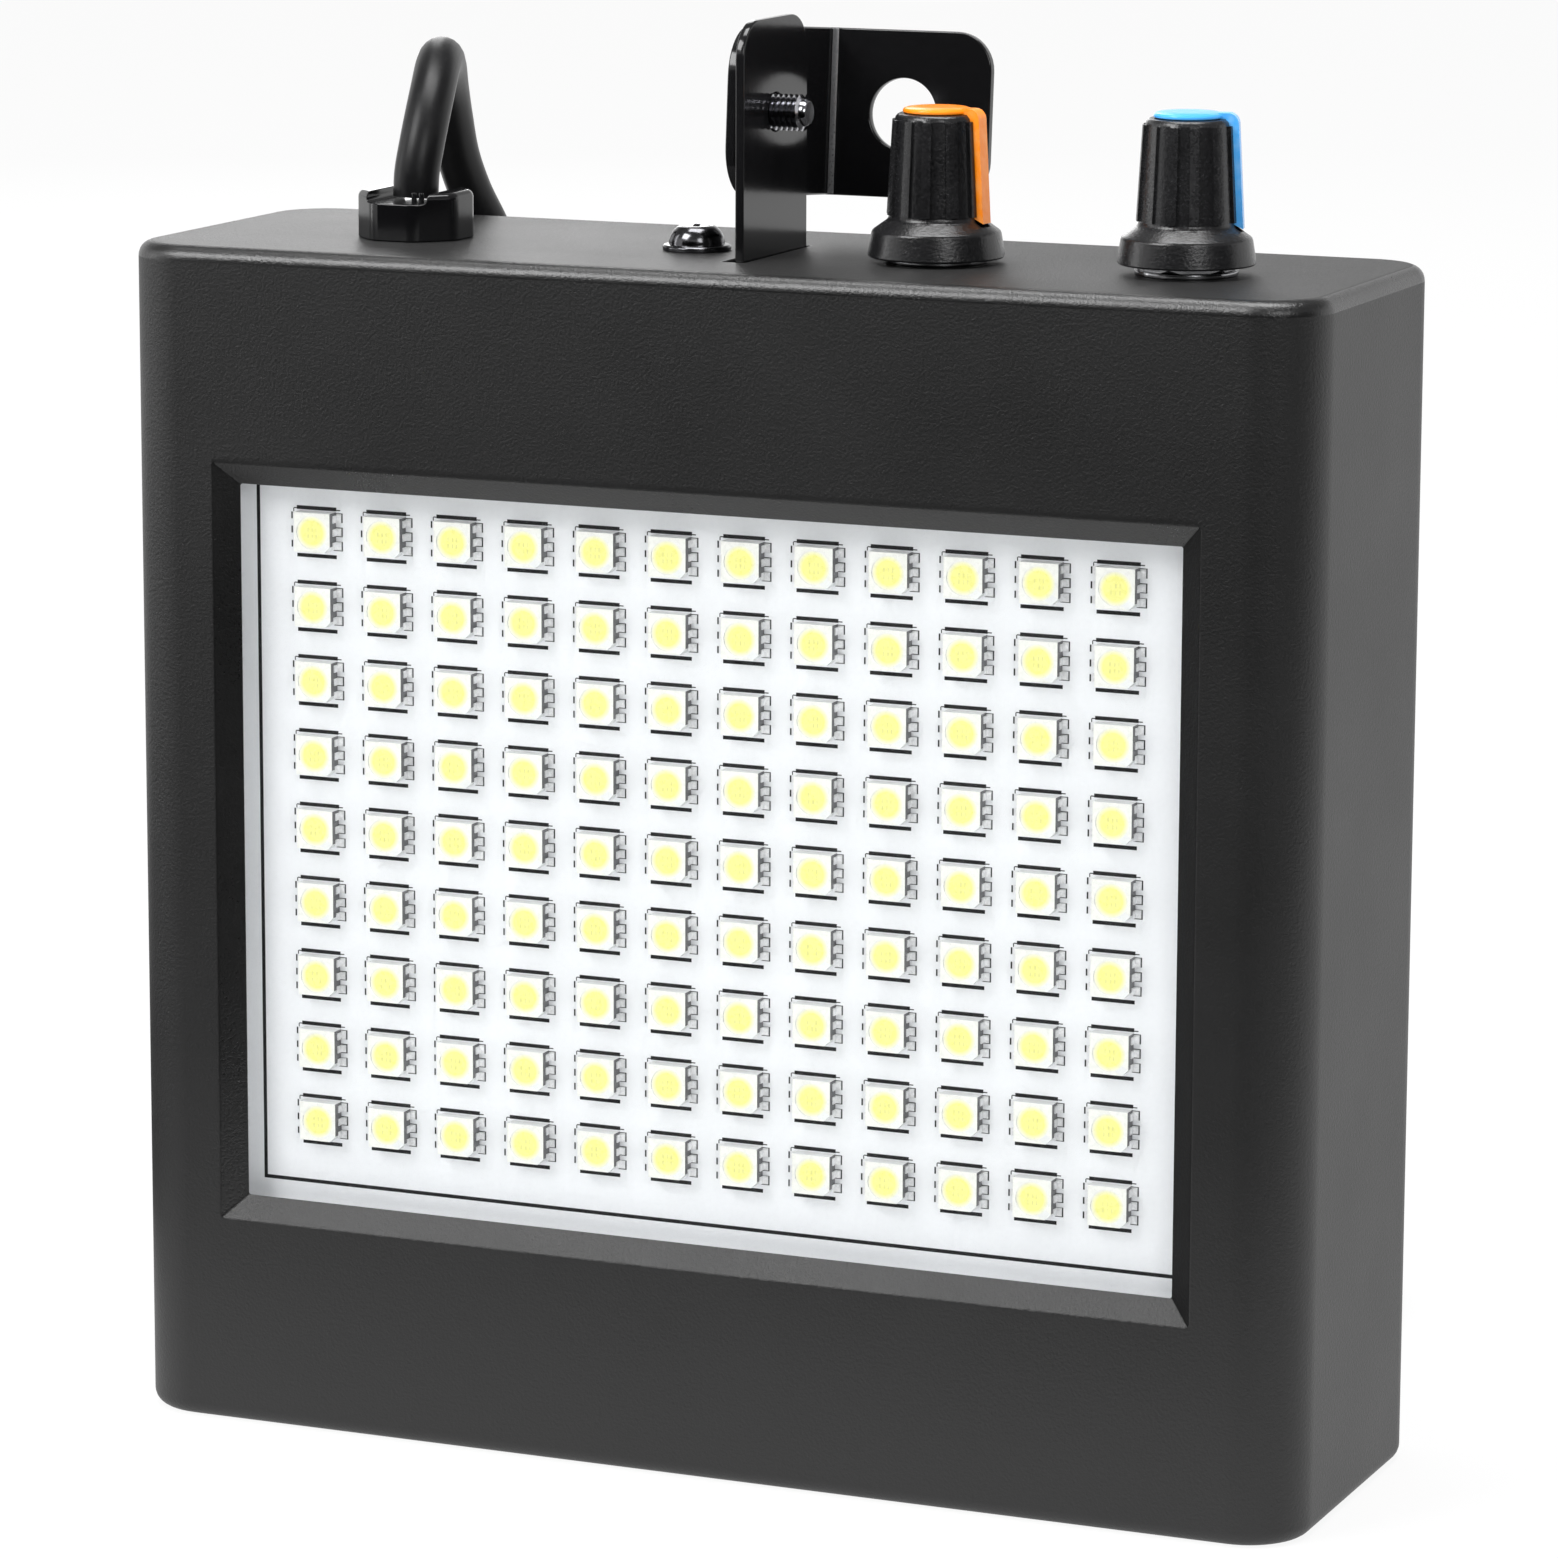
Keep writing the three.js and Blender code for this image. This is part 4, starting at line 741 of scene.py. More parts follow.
def round_along(piece, way, width, segments, where=anything):
    """Rounds the straight edges that run along a direction."""
    way = Vector(way)

    def runs(edge):
        start, end = (corner.co for corner in edge.verts)
        line = end - start
        return line.length > HAIR and abs(line.normalized().dot(way)) > 0.999 and where((start + end) / 2)

    choose(piece, "EDGE", runs)
    round_edges(width, segments)


def extrude(way):
    bpy.ops.mesh.extrude_region_move(TRANSFORM_OT_translate={"value": way})


def stretch(scale, centre):
    bpy.ops.transform.resize(value=scale, center_override=centre)


def divide(piece, place, way):
    """Cuts new edges into a piece, along the plane through a place."""
    choose(piece)
    bpy.ops.mesh.bisect(plane_co=place, plane_no=way)


def face_out():
    bpy.ops.mesh.select_all(action="SELECT")
    bpy.ops.mesh.normals_make_consistent(inside=False)


def close_up(piece):
    """Merges the doubled corners of a piece, and turns its faces outwards."""
    choose(piece)
    bpy.ops.mesh.remove_doubles(threshold=HAIR)
    face_out()
    only(piece)


print("shaping: round_along, extrude, stretch, divide and close_up")

# %% Helpers that join, cut and soften


def join(name, pieces):
    only(pieces[0])
    for piece in pieces[1:]:
        piece.select_set(True)
    bpy.ops.object.join()
    pieces[0].name = name
    return pieces[0]


def modify(piece, kind, **settings):
    """Puts a modifier on a piece and applies it."""
    only(piece)
    modifier = piece.modifiers.new(kind.lower(), kind)
    for name, value in settings.items():
        setattr(modifier, name, value)
    bpy.ops.object.modifier_apply(modifier=modifier.name)
    return piece


def combine(piece, tools, operation="DIFFERENCE"):
    """Cuts a piece by others, or joins them to it, and removes the tools."""
    for tool in tools if isinstance(tools, (list, tuple)) else [tools]:
        modify(piece, "BOOLEAN", operation=operation, solver="EXACT", object=tool)
        bpy.data.objects.remove(tool)
    return piece


def soften(piece, width, segments=2, angle=32):
    """Rounds every sharp edge a little, as a mould or a press leaves it."""
    return modify(
        piece, "BEVEL", width=width * MM, segments=segments, limit_method="ANGLE",
        angle_limit=math.radians(angle), miter_outer="MITER_ARC", use_clamp_overlap=True,
    )


print("modifiers: combine and soften")

# %% Helpers that turn, copy and place
QUARTER = math.pi / 2
TO_THE_BACK = (-QUARTER, 0, 0)
TO_THE_FRONT = (QUARTER, 0, 0)


def turned(name, rings, sides=48):
    """A lathe shape on the Z axis: a filled circle, extruded and resized from ring to ring."""
    deselect_everything()
    radius, height = rings[0]
    bpy.ops.mesh.primitive_circle_add(
        vertices=sides, radius=radius * MM, fill_type="NGON", location=(0, 0, height * MM)
    )
    piece = placed(name)
    bpy.ops.object.mode_set(mode="EDIT")
    bpy.ops.mesh.select_all(action="SELECT")
    for next_radius, next_height in rings[1:]:
        extrude((0, 0, (next_height - height) * MM))
        share = next_radius / radius
        stretch((share, share, 1), (0, 0, next_height * MM))
        radius, height = next_radius, next_height
    face_out()
    only(piece)
    return piece


def put(piece, place=(0, 0, 0), turn=(0, 0, 0)):
    """Turns and moves a piece, and puts that in its mesh."""
    only(piece)
    piece.rotation_euler = turn
    piece.location = place
    bpy.ops.object.transform_apply(location=True, rotation=True, scale=True)
    return piece


def copy_of(piece, name):
    twin = piece.copy()
    twin.data = piece.data.copy()
    bpy.context.collection.objects.link(twin)
    twin.name = name
    twin.data.name = name
    return twin


print("placing: turned, put and copy_of")

# %% Helpers that finish a piece
SMOOTH_ANGLE = math.radians(34)


def paint(piece, finishes, pick=lambda face: 0):
    """Gives a piece its finishes, and each face the one whose number is picked for it."""
    piece.data.materials.clear()
    for finish in finishes:
        piece.data.materials.append(finish)
    for face in piece.data.polygons:
        face.material_index = pick(face)


def complete(piece, body, slot, node, finish=None):
    """Smooths and paints a piece, and lets it ride on its body in place of its node.

    The diodes already have their paint.
    """
    only(piece)
    bpy.ops.object.shade_smooth_by_angle(angle=SMOOTH_ANGLE)
    modify(piece, "WEIGHTED_NORMAL", keep_sharp=True)
    if slot != "diode":
        paint(piece, [finish or FINISHES[slot]])
    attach(piece, body)
    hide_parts(node)
    corners = list(zip(*(vertex.co for vertex in piece.data.vertices)))
    sides = [round((max(line) - min(line)) / MM, 2) for line in corners]
    print(piece.name, len(piece.data.polygons), "faces,", sides, "mm")
    return piece


print("finishing: paint and complete")

# %% [markdown]
# ## The mains lead
#
# The lead is a round black cable, about 5 mm thick. It rises from the gland, bends over the back edge,
# and falls to the surface, where the rest of its length is wound into a coil, out of sight behind the
# box. One open curve with a round bevel is the natural way to make it. Its points repeat the route of
# the construction model, and the handles follow from the points, so that both have the same line.

# %% The lead's route
CORD_DIAMETER = 5.1 * MM
CORD_START = at(-42.3, -2.8, 139)
CORD_ROUTE = (
    (-42.2, -2.7, 141.6), (-42, -1.9, 144.6), (-42.1, -0.2, 147.7), (-42.7, 2.6, 150.6),
    (-43.9, 6.3, 152.7), (-45.5, 10.6, 153.3), (-47.3, 15.1, 152.2), (-48.9, 19, 149.5),
    (-49.9, 22.2, 145.6), (-50.3, 24.8, 141), (-49.8, 27.2, 136.4), (-48.6, 29.4, 132),
    (-47.3, 31, 126.8), (-46.3, 31.8, 120), (-45.3, 31.8, 107), (-44.1, 31.4, 88),
    (-42.3, 31, 67), (-39.5, 31, 46.5), (-34.5, 31, 28.5), (-26.6, 31, 14.6), (-16, 31, 6.6),
)
COIL_TURNS = 5.54
COIL_ANGLE = 2 * math.pi * COIL_TURNS
COIL_PITCH = 5.65 * MM
COIL_INNER = 27.6 * MM - COIL_PITCH * COIL_TURNS / 4
COIL_MIDDLE = at(15, 66.5, 3.5)
POINTS_IN_A_TURN = 24
COIL_STEPS = round(COIL_TURNS * POINTS_IN_A_TURN)
print("route:", len(CORD_ROUTE), "points, then a coil of", COIL_TURNS, "turns")

# %% The coil's turns and the curve's handles


def coil_point(angle):
    """The turns spiral in on the surface, climb a layer, and spiral out on top."""
    half = COIL_ANGLE / 2
    share = min(1, max(0, (angle - half) / math.pi + 0.5))
    climb = share * share * (3 - 2 * share)
    radius = COIL_INNER + COIL_PITCH * abs(angle - half) / (2 * math.pi)
    turn = angle - math.pi / 2
    return COIL_MIDDLE + Vector((radius * math.cos(turn), radius * math.sin(turn), climb * COIL_PITCH))


def coil_way(angle):
    step = 0.001
    return (coil_point(min(COIL_ANGLE, angle + step)) - coil_point(max(0, angle - step))).normalized()


def smooth_handles(points):
    """Bezier handles for a centripetal curve through points."""
    ends = [2 * points[0] - points[1], *points, 2 * points[-1] - points[-2]]
    handles = []
    for before, here, after in zip(ends, points, ends[2:]):
        a, b = math.sqrt((here - before).length), math.sqrt((after - here).length)
        slope = (here - before) / a**2 * b / (a + b) + (after - here) / b**2 * a / (a + b)
        handles.append((here - slope * a**2 / 3, here + slope * b**2 / 3))
    return handles


COIL_IN = coil_point(0) - coil_way(0) * CORD_DIAMETER
COIL_OUT = coil_point(COIL_ANGLE) + coil_way(COIL_ANGLE) * CORD_DIAMETER
turns = [coil_point(COIL_ANGLE * step / COIL_STEPS) for step in range(COIL_STEPS + 1)]
coil_points = [COIL_IN - coil_way(0) * CORD_DIAMETER, COIL_IN, *turns, COIL_OUT]
lead_points = [CORD_START, *(at(*point) for point in CORD_ROUTE), *coil_points]
print("lead:", len(lead_points), "points")

# %% The lead as a curve
lead_curve = bpy.data.curves.new("mains_lead", "CURVE")
lead_curve.dimensions = "3D"
lead_curve.bevel_depth = CORD_DIAMETER / 2
lead_curve.bevel_resolution = 8
lead_curve.resolution_u = 8
lead_curve.render_resolution_u = 8
lead_curve.use_fill_caps = True
spline = lead_curve.splines.new("BEZIER")
spline.bezier_points.add(len(lead_points) - 1)
for point, place, (left, right) in zip(spline.bezier_points, lead_points, smooth_handles(lead_points)):
    point.co = place
    point.handle_left, point.handle_right = left, right
    point.handle_left_type = point.handle_right_type = "FREE"
mains_lead = bpy.data.objects.new("mains_lead", lead_curve)
bpy.context.collection.objects.link(mains_lead)
mains_lead.data.materials.append(FINISHES["cord_jacket"])
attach(mains_lead, "housing")
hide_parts("cord", "cord_coil")
print("lead:", round(spline.calc_length(), 4), "m long")

# %% [markdown]
# ## Plug and tie
#
# The lead ends in a moulded plug with a ribbed, tapering neck and two flat brass blades. It lies beside
# the coil. The neck is a lathe shape: its ribs are rings of two radii. The body is a block whose
# shoulders and edges are bevelled. Both are made along +Y at the origin, and then laid in place.

# %% Plug body
PLUG_NECK = 19.6
PLUG_END = PLUG_NECK + 26
PLUG_HALF = 11.5
PLUG_RISE = 9.1
BLADE_ROOT, BLADE_END = 42.6, 61.6
BLADE_PLACES = (-6.35, 6.35)
RIBS, RIB_PITCH = 6, 2.9
plug_place = COIL_OUT + coil_way(COIL_ANGLE) * 0.3 * MM
plug_turn = (0, 0, math.atan2(coil_way(COIL_ANGLE).y, coil_way(COIL_ANGLE).x) - QUARTER)

neck_rings = [(2.9, 0), (3.1, 0.4)]
for rib in range(RIBS):
    foot, radius = 1.2 + rib * RIB_PITCH, 3.15 + 0.28 * rib
    neck_rings += [(radius, foot), (radius + 0.12, foot + 1.6)]
    neck_rings += [(radius - 0.45, foot + 1.75), (radius - 0.35, foot + 2.7)]
neck_rings += [(4.75, 18.9), (4.8, 20.2)]
plug_neck = put(turned("plug_neck", neck_rings, 32), turn=TO_THE_BACK)
plug_block = block("plug_block", at(-PLUG_HALF, PLUG_NECK, -PLUG_RISE), at(PLUG_HALF, PLUG_END, PLUG_RISE))
round_along(plug_block, (0, 0, 1), 5.9, 8, lambda middle: middle.y < (PLUG_NECK + 1) * MM)
choose(plug_block, "EDGE", lambda edge: edge.calc_face_angle(0) > math.radians(60))
round_edges(2.1, 5)
combine(plug_block, [block("slot", at(x - 0.85, 42.5, -3.25), at(x + 0.85, 47, 3.25)) for x in BLADE_PLACES])
plug_body = join("plug_moulding", [plug_block, plug_neck])
put(plug_body, plug_place, plug_turn)
complete(plug_body, "housing", "plug_plastic", "plug_body")

# %% Plug blades
for index, x in enumerate(BLADE_PLACES, 1):
    blade = block(f"plug_pin_{index}", at(x - 0.75, BLADE_ROOT, -3.15), at(x + 0.75, BLADE_END, 3.15))
    faces_towards(blade, (0, 1, 0))
    stretch((0.4, 1, 0.86), at(x, BLADE_END, 0))
    round_along(blade, (0, 0, 1), 0.3, 3, lambda middle: middle.y > (BLADE_END - 1.6) * MM)
    soften(blade, 0.12)
    put(blade, plug_place, plug_turn)
    complete(blade, "housing", "blade_brass", f"plug_blade_{index}")

# %% Tie round the coil
TIE_LOW, TIE_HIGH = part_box("cord_tie")
TIE_THICK = at(0.6, 0, 0.6)
THROUGH = at(0, 1, 0)
coil_tie = block("coil_tie", TIE_LOW, TIE_HIGH)
tie_hole = block("tie_hole", TIE_LOW + TIE_THICK - THROUGH, TIE_HIGH - TIE_THICK + THROUGH)
for loop, width in ((coil_tie, 3.1), (tie_hole, 2.5)):
    round_along(loop, (0, 1, 0), width, 8)
combine(coil_tie, tie_hole)
soften(coil_tie, 0.12)
complete(coil_tie, "housing", "cord_jacket", "cord_tie")

# %% [markdown]
# ## The front shell
#
# The housing is one moulded shell, 2 mm thick, open at the back. It starts as a block. Its upright edges
# get a wide round, and its top and bottom rims a small one. Then the cavity, the bevelled window, the
# rear opening and the holes in the top are cut out of it with booleans, and posts are joined to it. The
# mould is finer on two of the window's slopes and on the top rim, so these faces are glossier. The slope
# at the right gets a darker copy of the plastic with little specular: painted shade.

# %% Shell: the outside and the cavity
WALL = 2 * MM
MIDDLE_Z = (SHELL_LOW.z + SHELL_HIGH.z) / 2
TOP = 134.5
LINE_Y = -2.1
CORNER_ROUND, RIM_ROUND = 7.5, 1.7
shell = block("moulded_shell", SHELL_LOW, SHELL_HIGH)
round_along(shell, (0, 0, 1), CORNER_ROUND, 12)


def on_rim(edge):
    """Whether an edge lies between a level face and an upright one."""
    ups = sorted(abs(face.normal.z) for face in edge.link_faces)
    return ups[0] < 0.1 and ups[-1] > 0.99


choose(shell, "EDGE", on_rim)
round_edges(RIM_ROUND, 7)
wall_all_round = Vector((WALL, WALL, WALL))
cavity = block("cavity", SHELL_LOW + wall_all_round, SHELL_HIGH - wall_all_round)
round_along(cavity, (0, 0, 1), CORNER_ROUND - WALL / MM, 10)
combine(shell, cavity)
print("shell:", len(shell.data.polygons), "faces")

# %% Shell: the window and the rear opening
WINDOW_X, WINDOW_Z = 55.5 * MM, 40.7 * MM
WINDOW_SLOPE = 2.7 * MM
FRONT = SHELL_LOW.y
window_low = (-WINDOW_X, FRONT, MIDDLE_Z - WINDOW_Z)
window = block("window", window_low, (WINDOW_X, FRONT + WALL + MM, MIDDLE_Z + WINDOW_Z))
divide(window, (0, FRONT + WALL, 0), (0, 1, 0))
faces_towards(window, (0, -1, 0))
widen = ((WINDOW_X + WINDOW_SLOPE) / WINDOW_X, 1, (WINDOW_Z + WINDOW_SLOPE) / WINDOW_Z)
stretch(widen, (0, FRONT, MIDDLE_Z))
extrude((0, -MM, 0))
close_up(window)
opening = block("opening", at(-61.8, 19, 4.95), at(61.8, 24, 129.55))
round_along(opening, (0, 1, 0), 4.3, 8)
combine(shell, [window, opening])
print("window:", round(2 * WINDOW_X / MM, 1), "by", round(2 * WINDOW_Z / MM, 1), "mm at its inner edge")

# %% Shell: posts, bosses and the holes in the top
POSTS = [(x, MIDDLE_Z / MM + z) for x in (-57, 57) for z in (-50.15, 50.15)]
BOSSES = [(x, MIDDLE_Z / MM + z) for x in (-62.7, 62.7) for z in (-43.5, 43.5)]
GLAND_X, GLAND_Y = -42.3, -2.8
EAR_SCREW_X = -8.2
SPEED_X, SOUND_X = 20.2, 49
TOP_HOLES = (
    (GLAND_X, GLAND_Y, 4.8), (EAR_SCREW_X, LINE_Y, 2.25), (SPEED_X, LINE_Y, 3.8), (SOUND_X, LINE_Y, 3.8),
)


def rods(name, radius, places, start, end, sides):
    """Cylinders along Y at several places (x, z), in millimetres."""
    return [rod(name, radius, (x, start, z), (x, end, z), sides) for x, z in places]


added = rods("post", 3.2, POSTS, -21.2, 20.45, 24) + rods("boss", 2.6, BOSSES, -21.2, -17.5, 20)
combine(shell, join("posts", added), "UNION")
removed = rods("pilot", 1.1, POSTS, 6.45, 21, 16) + rods("boss_pilot", 0.95, BOSSES, -21.5, -17, 12)
removed += [rod("top_hole", radius, (x, y, 131), (x, y, 136), 40) for x, y, radius in TOP_HOLES]
removed.append(block("ear_slot", at(-1.2, -11.6, 131), at(1.5, 7.4, 136)))
combine(shell, join("holes", removed))
soften(shell, 0.22)
complete(shell, "housing", "housing_plastic", "front_shell")

# %% Shell: the polished faces, and the painted shade on the right slope


def finish_number(face):
    """0 for the housing's own finish, 1 for the polished one and 2 for the painted shade on the right slope.
    """
    middle, normal = face.center, face.normal
    past_window = max(abs(middle.x) - WINDOW_X, abs(middle.z - MIDDLE_Z) - WINDOW_Z)
    near_window = past_window < WINDOW_SLOPE + 0.3 * MM and middle.y < FRONT + WALL
    sloping = near_window and 0.3 < -normal.y < 0.95 and normal.z < 0.3
    at_top_rim = middle.z > SHELL_HIGH.z - 1.75 * MM and 0.05 < normal.z < 0.97
    return 2 if sloping and normal.x < -0.3 else int(sloping or at_top_rim)


paint(shell, [FINISHES[f"housing_{kind}"] for kind in ("plastic", "polish", "matt")], finish_number)
print("polished faces:", sum(face.material_index == 1 for face in shell.data.polygons))

# %% [markdown]
# ## The rear cover and its screws
#
# The cover is a flat plate that drops into the rear opening, with a hairline gap all round. Four
# countersunk screws hold it, and six fine holes let sound in to the microphone behind it.

# %% Rear cover
COVER_FACE = 22.5
DRIVER_SCREWS = ((-38, 44), (38, 88))
HOLES_X, HOLES_Z, HOLES_RADIUS = 30, 55, 2
cover = block("back_plate", at(-61.5, 20.5, 5.25), at(61.5, COVER_FACE, 129.25))
round_along(cover, (0, 1, 0), 4, 8)
combine(cover, join("standoffs", rods("standoff", 2.8, DRIVER_SCREWS, 10.05, 21.2, 24)), "UNION")
sink_rings = [(1.1, -1.9), (2.9, 0), (2.9, 0.6)]
sinks = [put(turned("sink", sink_rings, 32), at(x, COVER_FACE, z), TO_THE_BACK) for x, z in POSTS]
combine(cover, join("sinks", sinks))
combine(cover, join("through_holes", rods("through", 1.3, POSTS, 19, 22, 20)))
sound_ring = [
    (HOLES_X + HOLES_RADIUS * math.cos(turn), HOLES_Z + HOLES_RADIUS * math.sin(turn))
    for turn in (math.pi / 3 * step for step in range(6))
]
sound_holes = rods("sound_hole", 0.6, sound_ring, 19, 24, 12)
pilots = rods("pilot", 0.95, DRIVER_SCREWS, 9, 18.4, 12)
combine(cover, join("small_holes", sound_holes + pilots))
soften(cover, 0.2)
faces_towards(cover, (0, 1, 0), lambda middle: middle.y > (COVER_FACE - 0.1) * MM)
bpy.ops.mesh.inset(thickness=0.35 * MM, use_boundary=True)
complete(cover, "housing", "housing_plastic", "rear_cover")

# %% [markdown]
# ## Screws
#
# A screw is a lathe shape with a cross cut into its head and a thread round its shank. The thread is a
# small triangle that a Screw modifier carries round and along the axis. All screws are made standing on
# the origin, head up, and copied into place.

# %% Screw helpers


def cross_tool(top, reach, across, deep):
    """Two crossed wedges for the recess of a screw head, in millimetres."""
    wedges = []
    for turn in (0, QUARTER):
        wedge = block("wedge", at(-reach, -across / 2, top - deep), at(reach, across / 2, top + 1))
        faces_towards(wedge, (0, 0, -1))
        stretch((0.45, 0.6, 1), at(0, 0, top - deep))
        wedges.append(put(wedge, turn=(0, 0, turn)))
    return wedges


def thread(core, crest, pitch, low, high):
    """A closed helical ridge from z = low to z = high, in millimetres."""
    deselect_everything()
    radial = (crest - core + 0.1) * MM
    bpy.ops.mesh.primitive_circle_add(
        vertices=3, radius=1, location=(crest * MM - radial / 1.5, 0, (low + pitch / 2) * MM),
        rotation=(QUARTER, QUARTER, 0),
    )
    bpy.context.active_object.scale = (0.9 * pitch * MM / math.sqrt(3), radial / 1.5, 1)
    ridge = modify(
        placed("thread"), "SCREW", axis="Z", screw_offset=pitch * MM, steps=20, render_steps=20,
        iterations=max(1, round((high - low) / pitch) - 1), use_merge_vertices=False,
    )
    bpy.ops.object.mode_set(mode="EDIT")
    bpy.ops.mesh.select_all(action="SELECT")
    bpy.ops.mesh.fill_holes(sides=3)
    face_out()
    only(ridge)
    return ridge


def screw(name, rings, recess, winding, sides=40):
    """A screw standing on z = 0 with its head up."""
    body = turned(name, rings, sides)
    combine(body, cross_tool(*recess))
    soften(body, 0.08, angle=40)
    return join(name, [body, thread(*winding)])


def set_screws(pattern, name, node, slot, places, y, turn, spins=(0, 0, 0, 0)):
    """Sets copies of a screw at places (x, z), in millimetres. A spin turns the cross in a screw's head."""
    for index, ((x, z), spin) in enumerate(zip(places, spins), 1):
        fixed = put(copy_of(pattern, f"{name}_{index}"), turn=(0, 0, spin))
        put(fixed, at(x, y, z), turn)
        complete(fixed, "housing", slot, f"{node}_{index}")


# %% The screws that hold the covers and boards
COVER_SCREW = [(0.5, -12), (0.95, -11), (0.95, -1.85), (2.72, -0.12), (2.72, 0)]
COVER_SPINS = (0.5, 1.5, 2.5, 3.5)
PAN_SCREW = [(0.45, -5), (0.75, -4.3), (0.75, 0), (2.3, 0), (2.3, 0.55), (2.05, 1.05), (1.4, 1.4)]
cover_screw = screw("cover_screw", COVER_SCREW, (0, 1.7, 0.7, 0.9), (0.8, 1.0, 0.8, -11, -2.2), 32)
pan_screw = screw("pan_screw", PAN_SCREW, (1.4, 1.35, 0.6, 0.8), (0.65, 0.85, 0.6, -4.4, -0.2), 24)
set_screws(cover_screw, "countersunk_screw", "cover_screw", "black_screw", POSTS, COVER_FACE, TO_THE_BACK,
           COVER_SPINS)
set_screws(pan_screw, "board_screw", "led_board_screw", "zinc_steel", BOSSES, -15.8, TO_THE_BACK)
set_screws(pan_screw, "driver_screw", "driver_board_screw", "zinc_steel", DRIVER_SCREWS, 8.35, TO_THE_FRONT)
for pattern in (cover_screw, pan_screw):
    bpy.data.objects.remove(pattern)

# %% [markdown]
# ## The diodes
#
# Each of the 108 diodes is a small white package with one chamfered corner, a round cup of yellow
# phosphor, and three tinned legs on each side. There are many of them, so one is modelled with few
# faces, copied along a column, and each column is joined into one piece.

# %% One diode package
BODY_HALF = 2.22
DIODE_BASE = -17.5
DIODE_FACE = -19.1
CUP_RADIUS = 1.9
CUP_DEPTH = 0.06
LEG_REACH, LEG_HALF, LEG_PITCH, LEG_RISE = 2.9, 0.4, 1.5, 0.75
LEG_BEND = BODY_HALF + 0.14


def diode_finish(face):
    """The phosphor's number on the cup's floor, the painted shade's number on the left and right sides, and 0
    elsewhere.
    """
    middle = face.center
    if math.hypot(middle.x, middle.z) < 0.5 * MM and middle.y < (DIODE_FACE + 0.5) * MM:
        return PHOSPHOR_FACE
    return SHADED_SIDE_FACE if abs(face.normal.x) > 0.9 else 0


tub = block("tub", at(-BODY_HALF, DIODE_FACE, -BODY_HALF), at(BODY_HALF, DIODE_BASE, BODY_HALF))
round_along(tub, (0, 1, 0), 0.7, 1, lambda middle: middle.x > 0 and middle.z < 0)
cup = rod("cup", CUP_RADIUS, (0, DIODE_FACE - 0.5, 0), (0, DIODE_FACE + CUP_DEPTH, 0), 20)
combine(tub, cup)
paint(tub, DIODE_FINISHES, diode_finish)

legs = []
for side in (-1, 1):
    for step in (-1, 0, 1):
        inner, outer = sorted((side * (BODY_HALF - 0.02), side * LEG_REACH))
        low, high = step * LEG_PITCH - LEG_HALF, step * LEG_PITCH + LEG_HALF
        leg = block("leg", at(inner, DIODE_BASE - 0.15, low), at(outer, DIODE_BASE + 0.03, high))
        divide(leg, at(side * LEG_BEND, 0, 0), (1, 0, 0))
        faces_towards(leg, (0, -1, 0), lambda middle: abs(middle.x) < LEG_BEND * MM)
        extrude((0, -LEG_RISE * MM, 0))
        only(leg)
        paint(leg, DIODE_FINISHES, lambda face: TINNED_FACE)
        legs.append(leg)
diode = join("diode", [tub, *legs])
print("diode:", len(diode.data.polygons), "faces")

# %% Twelve columns of nine diodes
for column in range(COLUMNS):
    packages = []
    for row in range(ROWS):
        package = copy_of(diode, f"diode_{column + 1}_{row + 1}")
        package.location = (FIRST_X + column * PITCH_X, 0, FIRST_Z + row * PITCH_Z)
        packages.append(package)
    strip = join(f"diodes_{column + 1:02d}", packages)
    put(strip, strip.location)
    complete(strip, "housing", "diode", f"led_column_{column + 1:02d}")
bpy.data.objects.remove(diode)

# %% [markdown]
# ## The cord gland
#
# A black moulded gland is pressed into the top. Its head has eight sides and a saddle that the lead
# rises from, so that two horns stand beside the lead. The edges are generously rounded, which gives the
# glossy plastic its long highlights.

# %% Gland
HALF_SIDE = math.pi / 8
GLAND_FOOT, GLAND_TOP = TOP + 0.05, TOP + 5.35
SADDLE_HALF, SADDLE_FLOOR = 3.7, 138.7
NIB_PLACES = (-41, -40.1)
NECK_RINGS = [(4.3, 128.4), (4.7, 128.7), (5.6, 131.4), (5.6, 132.4), (4.7, 132.4), (4.7, 134.6)]
gland_foot, gland_top = (GLAND_X, GLAND_Y, GLAND_FOOT), (GLAND_X, GLAND_Y, GLAND_TOP)
gland = rod("cable_gland", 6.657, gland_foot, gland_top, 8, HALF_SIDE)
round_along(gland, (0, 0, 1), 0.9, 5)
choose(gland, "EDGE", lambda edge: all(v.co.z > 139 * MM for v in edge.verts) and edge.calc_face_angle(0) > 1)
round_edges(0.8, 5)
saddle_low = at(GLAND_X - SADDLE_HALF, GLAND_Y - 9, SADDLE_FLOOR)
saddle = block("saddle", saddle_low, at(GLAND_X + SADDLE_HALF, GLAND_Y + 9, 142))
round_along(saddle, (0, 1, 0), 0.5, 4, lambda middle: middle.z < 140 * MM)
combine(gland, saddle)
soften(gland, 0.35, 4)
nibs = [soften(rod("nib", 0.3, (x, -5.95, 138.6), (x, -5.85, 139.8), 12), 0.12) for x in NIB_PLACES]
neck = put(turned("gland_neck", NECK_RINGS, 40), at(GLAND_X, GLAND_Y, 0))
gland = join("cable_gland", [gland, *nibs, neck])
complete(gland, "housing", "gland_plastic", "cord_gland")
